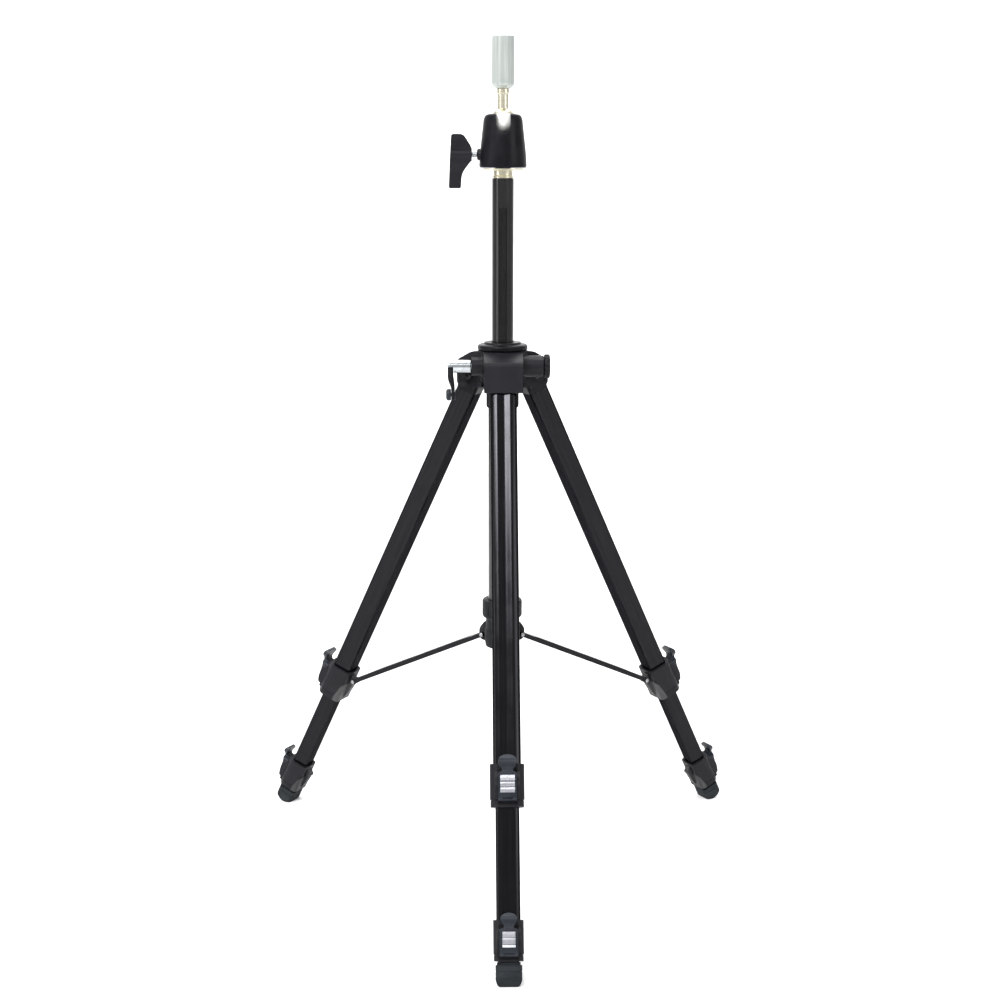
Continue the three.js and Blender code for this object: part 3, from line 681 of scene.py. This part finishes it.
shapes = {
    "upper_tube": leg_tube(UPPER, 19.3, 405),
    "middle_tube": leg_tube(MIDDLE, 170, 545),
    "lower_tube": leg_tube(LOWER, 200, 572),
    "leg_head": leg_head(),
    "hinge_pin": rivet(2.5, 19.6, 4.0, 1.6),
    "upper_lock_collar": collar(LOCK_A),
    "upper_lock_lug": collar_lug(LOCK_A, True),
    "upper_lock_lever": lever(LOCK_A),
    "upper_lock_plate": lever_plate(LOCK_A),
    "lower_lock_collar": collar(LOCK_B),
    "lower_lock_lug": collar_lug(LOCK_B, False),
    "lower_lock_lever": lever(LOCK_B),
    "lower_lock_plate": lever_plate(LOCK_B),
    "foot": foot(),
}
# shape: (material, the body it rides on, whether it stands for a CAD node of its name, slot)
leg_looks = {
    "upper_tube": (tube_black, "leg", True, "black_aluminium"),
    "middle_tube": (tube_black, "middle", True, "black_aluminium"),
    "lower_tube": (tube_black, "lower", True, "black_aluminium"),
    "leg_head": (black_plastic, "leg", True, "black_plastic"),
    "hinge_pin": (dark_steel, None, True, "steel"),
    "upper_lock_collar": (black_plastic, "leg", True, "black_plastic"),
    "upper_lock_lug": (lug_plastic_painted_light, "leg", False, "black_plastic"),
    "upper_lock_lever": (lever_plastic, "upper_lever", True, "black_plastic"),
    "upper_lock_plate": (plate_metal, "upper_lever", True, "chrome"),
    "lower_lock_collar": (black_plastic, "middle", True, "black_plastic"),
    "lower_lock_lug": (lug_plastic_painted_light, "middle", False, "black_plastic"),
    "lower_lock_lever": (lever_plastic, "lower_lever", True, "black_plastic"),
    "lower_lock_plate": (plate_metal, "lower_lever", True, "chrome"),
    "foot": (foot_rubber, "lower", True, "rubber"),
}
hinge_turn = {side: leg_frame(side) @ turn(LEG_ANGLE, "Y") for side in SIDES}

for side in SIDES:
    for part, (material, body, stands, slot) in leg_looks.items():
        matrix = leg_frame(side) if body else hinge_turn[side]
        node = (f"{side}_{part}",) if stands else ()
        rides = f"{side}_{body}" if body else "canopy"
        show(f"{side}_{part}_v", shapes[part], matrix, material, rides, node)

# ------------------------------------------------------------------ braces

BRACE_HALF = 2.4
BRACE_WIDTH = 13.0
LUG_GAP = 7.0


def brace(length):
    """Pressed channel strap with a forked end at each pivot."""
    h = BRACE_HALF
    strap = [
        (-h, h, h), (14, h, 2), (22, h + 0.7, 6), (length - 30, h + 0.7, 6), (length - 18, h, 2),
        (length + h, h, h), (length + h, -h, h), (-h, -h, h),
    ]
    fork = LUG_GAP / 2
    cuts = [
        plate_x([(-fork, -9, 0), (fork, -9, 0), (fork, 9, 0), (-fork, 9, 0)], -10, 12),
        plate_x([(-fork, -9, 0), (fork, -9, 0), (fork, 9, 0), (-fork, 9, 0)], length - 25, length + 10),
        block(17, length - 31, -BRACE_WIDTH / 2 + 1.5, BRACE_WIDTH / 2 - 1.5, -h - 2, -h + 2.6),
        rod_y(1.75, -10, 10, steps=20),
        rod_y(1.75, -10, 10, length, steps=20),
    ]
    return solid([plate_y(strap, BRACE_WIDTH)], cuts, bevel=0.5, segments=2)


cap = filleted([
    (0, -2.2, 0), (1.6, -2.2, 0), (1.6, 0, 0), (2.3, 0, 0.2), (2.2, 0.5, 0.4), (1.2, 0.9, 0.5),
    (0, 0.9, 0),
])
rivet_end = along_y(lathe(cap, 32))
rivet_ends = {"a": rivet_end, "b": moved(rivet_end, turn(180, "Z"))}

for side in SIDES:
    length = brace_line(side)[1].length / MM
    matrix = brace_frame(side)
    body = f"{side}_brace"
    show(f"{side}_brace_v", brace(length), matrix, tube_black, body, (f"{side}_brace",))
    pin = rivet(1.5, BRACE_WIDTH / 2 + 0.15, 2.3, 1.1)
    show(f"{side}_brace_pin_v", pin, matrix, rivet_steel, "slider", (f"{side}_brace_pin",))
    for sign, (label, end) in zip((-1, 1), rivet_ends.items()):
        placed = moved(end, Matrix.Translation((length, sign * (BRACE_WIDTH / 2 + 0.02), 0)))
        head = solid([placed], bevel=0)
        show(f"{side}_brace_rivet_{label}", head, matrix, rivet_steel, body, ())

# ------------------------------------------------------------------ canopy

PINION_Y = -14.6
PINION_Z = 534.0
CANOPY_LOW = 511.0
CANOPY_HIGH = 549.0
ARM_REACH = 43.0
ARM_WIDTH = 39.0
SLOT_WIDTH = 27.6
COLUMN_R = 11.0
GUIDE_R = 14.75
PINION = Matrix.Translation((0, PINION_Y, PINION_Z))


def canopy():
    """Canopy casting: barrel, two roofed forks, a closed front hood, guide socket and pinion housing."""
    high, low = CANOPY_HIGH - 0.4, CANOPY_LOW + 0.4
    roof = [
        (14, high, 0), (25, high, 6), (ARM_REACH - 1.6, high - 9, 3), (ARM_REACH, high - 12, 2),
        (ARM_REACH, low + 3, 3), (ARM_REACH - 5, low, 3), (14, low, 0),
    ]
    wall = [(19.1, CANOPY_LOW - 5, 0), (19.1, 518, 1), (20.3, 521, 2), (20.3, 534.5, 5)]
    slot = [*wall, (ARM_REACH + 5, 534.5, 0), (ARM_REACH + 5, CANOPY_LOW - 5, 0)]
    hood = [
        (14, high, 0), (25, high, 6), (48.6, 541.4, 2), (50.6, 538.5, 1.5), (50.6, low, 1.2),
        (14, low, 0),
    ]
    hood_room = [*wall, (36, 534.5, 1), (39.5, 530.3, 0.5), (51.6, CANOPY_LOW - 5, 0)]
    sector = [turn(a, "Z") for a in SIDES.values()]
    fronts = [side == "front" for side in SIDES]
    barrel = filleted([
        (0, CANOPY_LOW, 0), (20, CANOPY_LOW, 1), (25.5, 520, 4), (26.8, 544, 3), (25.4, CANOPY_HIGH, 1),
        (0, CANOPY_HIGH, 0),
    ])
    socket = filleted([
        (0, 490, 0), (16, 490, 0.6), (16.75, 491.5, 0.8), (16.75, CANOPY_LOW + 1, 0),
        (0, CANOPY_LOW + 1, 0),
    ])
    joins = [lathe(barrel, 72), lathe(socket, 64)]
    joins += [moved(plate_y(hood if front else roof, ARM_WIDTH), m) for m, front in zip(sector, fronts)]
    joins += [rod_x(11, -22, 41, PINION_Y, PINION_Z, 48), rod_x(9.6, -32, -21, PINION_Y, PINION_Z, 48)]
    cuts = [rod(COLUMN_R + 0.3, 480, 560, 64), rod(GUIDE_R + 0.3, 480, 508.3, 64)]
    cuts += [rod_x(3.2, -40, 33.5, PINION_Y, PINION_Z), rod_x(6.2, -4.5, 4.5, PINION_Y, PINION_Z)]
    cuts += [rod_x(2.7, 33, 50, PINION_Y, PINION_Z)]
    cuts += [moved(plate_y(hood_room if front else slot, SLOT_WIDTH), m) for m, front in zip(sector, fronts)]
    cuts += [moved(rod_y(2.7, -30, 30, 30, 523.3, 24), m) for m in sector]
    panel = [(24, 517, 2), (39.5, 516, 3), (39.5, 533, 4), (24, 533, 2)]
    boss = rod_y(5.6, -30, 30, 30, 523.3, 36)
    for m in sector:
        for sign in (-1, 1):
            recess = solid([plate_y(panel, 1.6, sign * (ARM_WIDTH / 2 + 0.2))], [boss], bevel=0)
            cuts.append(moved(recess, m))
    return solid(joins, cuts, bevel=0.7, segments=3)


show("canopy_v", canopy(), CENTRE, black_plastic, "canopy", ("canopy",))

ring = filleted([
    (COLUMN_R + 0.3, 549.3, 0), (24.6, 549.3, 0.5), (25.7, 550.2, 0.5), (25.7, 553.6, 0.8),
    (24.2, 555.0, 0.8), (19.5, 555.6, 1.0), (18.6, 557.5, 0.7), (COLUMN_R + 1.2, 557.5, 0.5),
    (COLUMN_R + 0.3, 556.6, 0),
])
ring_mesh = solid([lathe(ring, 96)], bevel=0)
show("canopy_ring_v", ring_mesh, CENTRE, black_plastic, "canopy", ("canopy_ring",))

guide = filleted([(13.4, 238, 0), (GUIDE_R, 238, 0.3), (GUIDE_R, 508, 0.3), (13.4, 508, 0)])
guide_mesh = solid([lathe(guide, 96)], bevel=0)
show("guide_tube_v", guide_mesh, CENTRE, guide_black, "canopy", ("guide_tube",))
guide_end = filleted([
    (COLUMN_R + 0.3, 234, 0), (13.2, 234, 0.6), (GUIDE_R, 235.6, 0.6), (GUIDE_R, 237.6, 0.2),
    (13.1, 237.7, 0), (13.1, 250, 0.3), (COLUMN_R + 0.3, 250, 0),
])
cap_mesh = solid([lathe(guide_end, 72)], bevel=0)
show("guide_cap_v", cap_mesh, CENTRE, black_plastic, "canopy", ("guide_cap",))

# ------------------------------------------------------------------ spreader slider


def slider():
    bore = GUIDE_R + 0.3
    body = filleted([
        (bore, 234, 0), (17.6, 234, 0.8), (18.4, 240, 1.5), (18.4, 250, 1.5), (17.2, 254, 1),
        (17.2, 264.5, 1.5), (20.4, 267, 1.2), (21, 268.5, 0.8), (21, 283.5, 1), (19.8, 285, 0.6),
        (bore, 285, 0),
    ])
    lug = [(15.6, 236, 0), (25.5, 238, 4), (26.6, 249.5, 4), (20.5, 257.5, 3), (15.6, 261, 0)]
    joins = [lathe(body, 72)]
    cuts = [rod(bore, 230, 290, 72)]
    for angle in SIDES.values():
        joins.append(moved(plate_y(lug, 6.3), turn(angle, "Z")))
        cuts.append(moved(rod_y(1.7, -9, 9, SLIDER_PIVOT_R, 243.5, 20), turn(angle, "Z")))
    for k in range(12):
        cuts.append(moved(block(20.3, 24, -0.9, 0.9, 270, 282), turn(30 * k + 15, "Z")))
    return solid(joins, cuts, bevel=0.45, segments=2)


show("spreader_slider_v", slider(), CENTRE, soft_plastic, "slider", ("spreader_slider",))

# ------------------------------------------------------------------ column, rack and crank

RACK_HALF = 3.5
RACK_LOW, RACK_HIGH = (v.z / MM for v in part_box("column_rack"))
tube = filleted([(9.5, 386, 0), (COLUMN_R, 386, 0.3), (COLUMN_R, 721, 0.4), (9.5, 721, 0)])
slot_cut = block(-RACK_HALF - 0.3, RACK_HALF + 0.3, -20, 0, RACK_LOW - 0.3, RACK_HIGH + 0.3)
tube_mesh = solid([lathe(tube, 96)], [slot_cut], bevel=0.25, segments=2, angle=40)
show("column_tube_v", tube_mesh, CENTRE, column_black, "column", ("column_tube",))
frame["nodes"]["column_rack"].data.materials.clear()
frame["nodes"]["column_rack"].data.materials.append(column_black)


def crank_shaft():
    """Chrome shaft with a chamfered, half-notched outer end that holds the arm."""
    outer = filleted([
        (0, -56.5, 0), (5.8, -56.5, 0.4), (6.6, -55.6, 0.5), (6.6, -32.9, 0.5), (6.0, -32.3, 0.2),
        (0, -32.3, 0),
    ])
    core = rod_x(3, -33, 33, PINION_Y, PINION_Z)
    barrel = moved(along_x(lathe(outer, 64)), PINION)
    notch = block(-58, -50, PINION_Y - 9, PINION_Y + 9, PINION_Z - 9, PINION_Z + 0.05)
    gear = []
    for k in range(12):
        for radius, lean in ((3.8, -0.16), (5.5, -0.055), (5.5, 0.055), (3.8, 0.16)):
            angle = math.radians(30 * k) + lean
            gear.append((radius * math.cos(angle), radius * math.sin(angle)))
    pinion = moved(along_x(prism(gear, -3.2, 3.2)), PINION)
    return solid([core, barrel, pinion], [notch], bevel=0.2, segments=2)


show("crank_shaft_v", crank_shaft(), CENTRE, bright_chrome, "crank", ("crank_shaft",))

KNOB_Z = PINION_Z - 29


def crank_arm():
    side = [
        (-56.2, PINION_Z - 0.3, 0.6), (-50.3, PINION_Z - 0.3, 0.6), (-50.3, PINION_Z - 10, 3),
        (-49, PINION_Z - 20, 3), (-49, KNOB_Z - 7, 0), (-52.5, KNOB_Z - 7, 0),
        (-52.5, PINION_Z - 22, 3), (-56.2, PINION_Z - 12, 3),
    ]
    face = [
        (PINION_Y - 6.2, PINION_Z, 0), (PINION_Y + 6.2, PINION_Z, 0), (PINION_Y + 5.2, KNOB_Z - 5.5, 5),
        (PINION_Y - 5.2, KNOB_Z - 5.5, 5),
    ]
    web = [
        (PINION_Y - 3, PINION_Z - 8, 1.5), (PINION_Y + 3, PINION_Z - 8, 1.5),
        (PINION_Y + 2.4, KNOB_Z + 7, 1.5), (PINION_Y - 2.4, KNOB_Z + 7, 1.5),
    ]
    blank = moved(plate_y(side, 16), Matrix.Translation((0, PINION_Y, 0)))
    cuts = [plate_x(web, -60, -54.6), rod_x(2.1, -60, -45, PINION_Y, KNOB_Z)]
    return solid([blank], cuts, keep=[plate_x(face, -60, -45)], bevel=0.5, segments=3)


show("crank_arm_v", crank_arm(), CENTRE, black_plastic, "crank", ("crank_arm",))
grip = filleted([
    (0, -58, 0), (4.4, -58, 1), (5.9, -56.8, 0.8), (6.2, -54.6, 0.8), (5.6, -52.8, 0.5),
    (1.8, -52.8, 0), (1.8, -48.7, 0), (5.4, -48.7, 0.3), (5.4, -48, 0.3), (0, -48, 0),
])
grip_mesh = solid([moved(along_x(lathe(grip, 56)), Matrix.Translation((0, PINION_Y, KNOB_Z)))], bevel=0)
show("crank_knob_v", grip_mesh, CENTRE, lever_plastic, "crank_grip", ("crank_knob",))


def lock_knob():
    """Fluted disc on a short stem."""
    rim = filleted([
        (0, 41.3, 0), (9, 41.3, 0.5), (11.8, 42, 0.8), (12.3, 43, 0.6), (12.3, 46.4, 0.8),
        (11, 47.8, 1), (7.5, 47.8, 0.6), (7, 47.2, 0.3), (0, 47.2, 0),
    ])
    joins = [lathe(rim, 96), rod(2.5, 34, 43)]
    cuts = []
    for k in range(16):
        flute = moved(rod(1.35, 38, 52, 16), turn(22.5 * k, "Z") @ Matrix.Translation((12.9, 0, 0)))
        cuts.append(flute)
    knob = solid(joins, cuts, bevel=0.3, segments=2)
    return moved(along_x(knob), PINION)


show("column_lock_knob_v", lock_knob(), CENTRE, black_plastic, "column_lock", ("column_lock_knob",))

# ------------------------------------------------------------------ head

SCREW_Z = 744.0
BALL_Z = 776.5
BALL_R = 13.0
NECK_R = 6.2
PEG_LOW, PEG_HIGH = 807.7, 857.5

spigot = filleted([
    (0, 706, 0), (9.2, 706, 0.5), (9.2, 721.3, 0), (10.6, 721.3, 0.2), (10.6, 722.6, 0.4),
    (9.8, 723.8, 0.6), (9.8, 728.4, 0.4), (20.6, 728.9, 0.3), (21.4, 729.4, 0.3), (21.4, 730.6, 0.2),
    (8, 730.7, 0), (8, 750, 0.4), (0, 750, 0),
])
spigot_mesh = solid([lathe(spigot, 96)], bevel=0)
show("column_spigot_v", spigot_mesh, CENTRE, neck_metal, "column", ("column_spigot",))


def ball_room(low):
    """Round cavity a little larger than the ball, running down to a height as a bore."""
    reach = BALL_R + 0.3
    angles = (math.pi / 2 * k / 16 for k in range(16))
    arc = [(reach * math.cos(angle), BALL_Z + reach * math.sin(angle)) for angle in angles]
    return lathe([(0, low), (reach, low), *arc, (0, BALL_Z + reach)], 56)


def head_base():
    """Conical clamp body: rolled rim, U slot for the stem and screw boss."""
    shell = filleted([
        (0, 731, 0), (22.8, 731, 0.6), (23.7, 732.2, 0.8), (23.7, 736, 2), (22.9, 747, 4),
        (21.5, 760, 4), (20.3, 770, 4), (19.6, 777.6, 2), (17.9, 782, 2.4), (14.6, 783.3, 1),
        (0, 783.3, 0),
    ])
    boss = filleted([(0, -26, 0), (4.6, -26, 0.4), (5.6, -25, 0.8), (6.4, -18, 0), (0, -18, 0)])
    joins = [lathe(shell, 96), moved(along_x(lathe(boss, 48)), Matrix.Translation((0, 0, SCREW_Z)))]
    slot_half = 6.95
    floor_z = BALL_Z - 4
    slot = [(-slot_half, 790), (slot_half, 790)]
    slot += [
        (slot_half * math.cos(math.pi * k / 24), floor_z - slot_half * math.sin(math.pi * k / 24))
        for k in range(25)
    ]
    cuts = [
        rod(8.3, 725, 752, 40), ball_room(750.6), along_y(prism(slot, 0.013, 40)),
        rod_x(3.1, -40, 0.02, 0, SCREW_Z, 24),
    ]
    return solid(joins, cuts, bevel=0.6, segments=3)


show("head_base_v", head_base(), CENTRE, black_plastic, "head", ("head_base",))

seat_r = BALL_R + 0.3
seat_angles = (-math.pi / 2 * (1 - k / 16) for k in range(1, 17))
seat_arc = [(seat_r * math.cos(a), BALL_Z + seat_r * math.sin(a)) for a in seat_angles]
seat = lathe([(0, BALL_Z - BALL_R - 0.3), *seat_arc, (0, BALL_Z)], 56)
cup = solid([rod(12.8, 751, 766, 64)], [seat, rod(4, 740, 770, 32)], bevel=0.3)
show("clamp_cup_v", cup, CENTRE, soft_plastic, "head", ("clamp_cup",))


def ball():
    top = math.acos(NECK_R / BALL_R)
    steps = 28
    angles = (-math.pi / 2 + (top + math.pi / 2) * k / steps for k in range(steps + 1))
    arc = [(BALL_R * math.cos(a), BALL_Z + BALL_R * math.sin(a)) for a in angles]
    arc[0] = (0, BALL_Z - BALL_R)
    return solid([lathe([*arc, (0, arc[-1][1])], 80)], bevel=0)


show("tilt_ball_v", ball(), CENTRE, ball_metal_painted_reflection, "peg", ("tilt_ball",))

skin = BALL_R + 0.12
skin_low = math.radians(33)
skin_high = math.acos((NECK_R - 0.7) / skin)
skirt = [
    (skin * math.cos(a), BALL_Z + skin * math.sin(a), 0)
    for a in (skin_low + (skin_high - skin_low) * k / 8 for k in range(9))
]
stem = filleted([
    (0, skirt[0][1], 0), *skirt, (NECK_R - 0.7, 802.4, 0.4), (NECK_R, 803.2, 0.3),
    (NECK_R, PEG_LOW - 0.3, 0.3), (4, PEG_LOW - 0.3, 0), (4, 845, 0), (0, 845, 0),
])
show("peg_stem_v", solid([lathe(stem, 80)], bevel=0), CENTRE, neck_metal, "peg", ())


def peg():
    """Octagonal peg: tapered foot, slight draft and a rolled top edge."""
    to_corner = 1 / (2 * math.cos(math.pi / 8))
    levels = [(14.2, PEG_LOW), (20.4, PEG_LOW + 2.6), (22.6, PEG_LOW + 6), (21.8, PEG_HIGH)]
    bm = bmesh.new()
    rings = []
    for flats, z in levels:
        r = flats * to_corner
        corners = ((2 * k + 1) * math.pi / 8 for k in range(8))
        rings.append([bm.verts.new((r * math.cos(a), r * math.sin(a), z)) for a in corners])
    bm.faces.new(rings[0])
    bm.faces.new(rings[-1])
    for lower, upper in zip(rings, rings[1:]):
        for k in range(8):
            bm.faces.new((lower[k - 1], lower[k], upper[k], upper[k - 1]))
    bore = rod(4.2, PEG_LOW - 1, 845.3, 40)
    dimple = rod(3, PEG_HIGH - 0.8, PEG_HIGH + 2, 32)
    return solid([as_mesh(bm)], [bore, dimple], bevel=0.6, segments=3, angle=20)


show("head_peg_v", peg(), CENTRE, peg_metal, "peg", ("head_peg",))


def clamp_lever():
    """T lever with a long lower wing, a waist and three grip ribs."""
    wing = [
        (-51.6, 764, 2.5), (-39.5, 764, 4), (-31, 751, 4), (-31, 738.5, 4), (-41, 726, 6), (-42, 711, 2),
        (-54.2, 711, 2), (-53, 740, 6),
    ]
    blade = plate_y(wing, 12)
    waist = [
        (-9, 700, 0), (-3.2, 700, 0), (-3.6, 730, 4), (-7, 738, 3), (-7, 752, 3), (-4.2, 770, 0),
        (-9, 770, 0),
    ]
    trims = []
    for sign in (-1, 1):
        corners = [(sign * y, z, r) for y, z, r in waist]
        trims.append(plate_x(corners, -60, -28))
    ribs = [
        block(-56, -43, sign * 6.4 - 0.8, sign * 6.4 + 0.8, z, z + 1.1)
        for sign in (-1, 1)
        for z in (745, 748.5, 752, 755.5)
    ]
    hub = rod_x(6.9, -52.4, -31, 0, SCREW_Z, 48)
    body = solid([blade], [*trims, *ribs], bevel=0)
    return solid([body, hub], [rod_x(2.5, -45, -30, 0, SCREW_Z, 24)], bevel=0.8, segments=3)


show("clamp_lever_v", clamp_lever(), CENTRE, black_plastic, "clamp_handle", ("clamp_lever",))

thread = [(0, -44.5)]
z = -44.5
while z < -8.6:
    thread += [(2.0, z), (2.35, z + 0.4)]
    z += 0.8
thread += [(2.0, z), (0, z)]
screw = solid([along_x(lathe(thread, 36)), rod_x(2.9, -30.7, -26.3, 0, 0, 40)], bevel=0)
screw = moved(screw, Matrix.Translation((0, 0, SCREW_Z)))
show("clamp_screw_v", screw, CENTRE, rivet_steel, "clamp_handle", ("clamp_screw",))

# ------------------------------------------------------------------ camera, floor and light

AZIMUTH = -1.25
ELEVATION = 12.15
ROLL = 0.09
DISTANCE = 1.6086
FOCAL_MM = 55.44

azimuth, elevation, roll = (math.radians(angle) for angle in (AZIMUTH, ELEVATION, ROLL))
level = math.cos(elevation)
back = Vector((math.sin(azimuth) * level, -math.cos(azimuth) * level, math.sin(elevation)))
right = Vector((math.cos(azimuth), math.sin(azimuth), 0))
up = back.cross(right)
camera_x = right * math.cos(roll) + up * math.sin(roll)
camera_y = up * math.cos(roll) - right * math.sin(roll)
target = Vector((-0.00243, axis_y, 0.39194))
camera_data = bpy.data.cameras.new("camera")
camera_data.lens = FOCAL_MM
camera_data.sensor_width = 36
camera_data.clip_end = 50
camera = bpy.data.objects.new("camera", camera_data)
basis = Matrix((camera_x, camera_y, back)).transposed().to_4x4()
camera.matrix_world = Matrix.Translation(target + back * DISTANCE) @ basis
bpy.context.scene.collection.objects.link(camera)
bpy.context.scene.camera = camera


def backdrop():
    """Pale floor that curves up into a wall behind the stand."""
    half, front, wall, radius, height = 6.0, -5.0, 3.0, 1.6, 7.0
    points = [(front, 0.0)]
    for k in range(17):
        angle = math.pi / 2 * k / 16
        points.append((wall - radius + radius * math.sin(angle), radius - radius * math.cos(angle)))
    points.append((wall, height))
    bm = bmesh.new()
    lines = [[bm.verts.new((x, y, z)) for y, z in points] for x in (-half, half)]
    for i in range(len(points) - 1):
        bm.faces.new((lines[0][i], lines[1][i], lines[1][i + 1], lines[0][i + 1]))
    mesh = as_mesh(bm, "floor")
    mesh.shade_smooth()
    material, tree, shader = surface("pale_floor", (0.86, 0.86, 0.86), 0.85)
    mottle = tint(tree, noise(tree, 3, 3), (0.85, 0.85, 0.85), (0.88, 0.88, 0.88))
    tree.links.new(mottle, shader.inputs["Base Color"])
    mesh.materials.append(material)
    obj = bpy.data.objects.new("floor", mesh)
    bpy.context.scene.collection.objects.link(obj)


backdrop()


def softbox(name, place, aim, size, power):
    light = bpy.data.lights.new(name, "AREA")
    light.shape = "RECTANGLE"
    light.size, light.size_y = size
    light.energy = power
    obj = bpy.data.objects.new(name, light)
    direction = Vector(aim) - Vector(place)
    obj.matrix_world = Matrix.Translation(place) @ direction.to_track_quat("-Z", "Y").to_matrix().to_4x4()
    bpy.context.scene.collection.objects.link(obj)


softbox("key", (-1.02, -1.71, 2.45), (0, 0, 0.45), (1.5, 0.7), 95)
softbox("strip", (-2.6, -1.2, 0.8), (0, 0, 0.45), (0.5, 1.8), 15)
softbox("fill", (2.2, -1.6, 1.5), (0, 0, 0.4), (1.2, 1.4), 22)
softbox("top", (0, 0.6, 3.4), (0, 0.3, 0), (2.4, 2.4), 60)
softbox("wall", (0, 1.2, 2.9), (0, 3.0, 0.9), (3.0, 0.8), 60)

world = bpy.data.worlds.new("studio")
world.use_nodes = True
world.node_tree.nodes["Background"].inputs["Color"].default_value = (1, 1, 1, 1)
world.node_tree.nodes["Background"].inputs["Strength"].default_value = 0.75
bpy.context.scene.world = world
bpy.context.scene.view_settings.view_transform = "Standard"
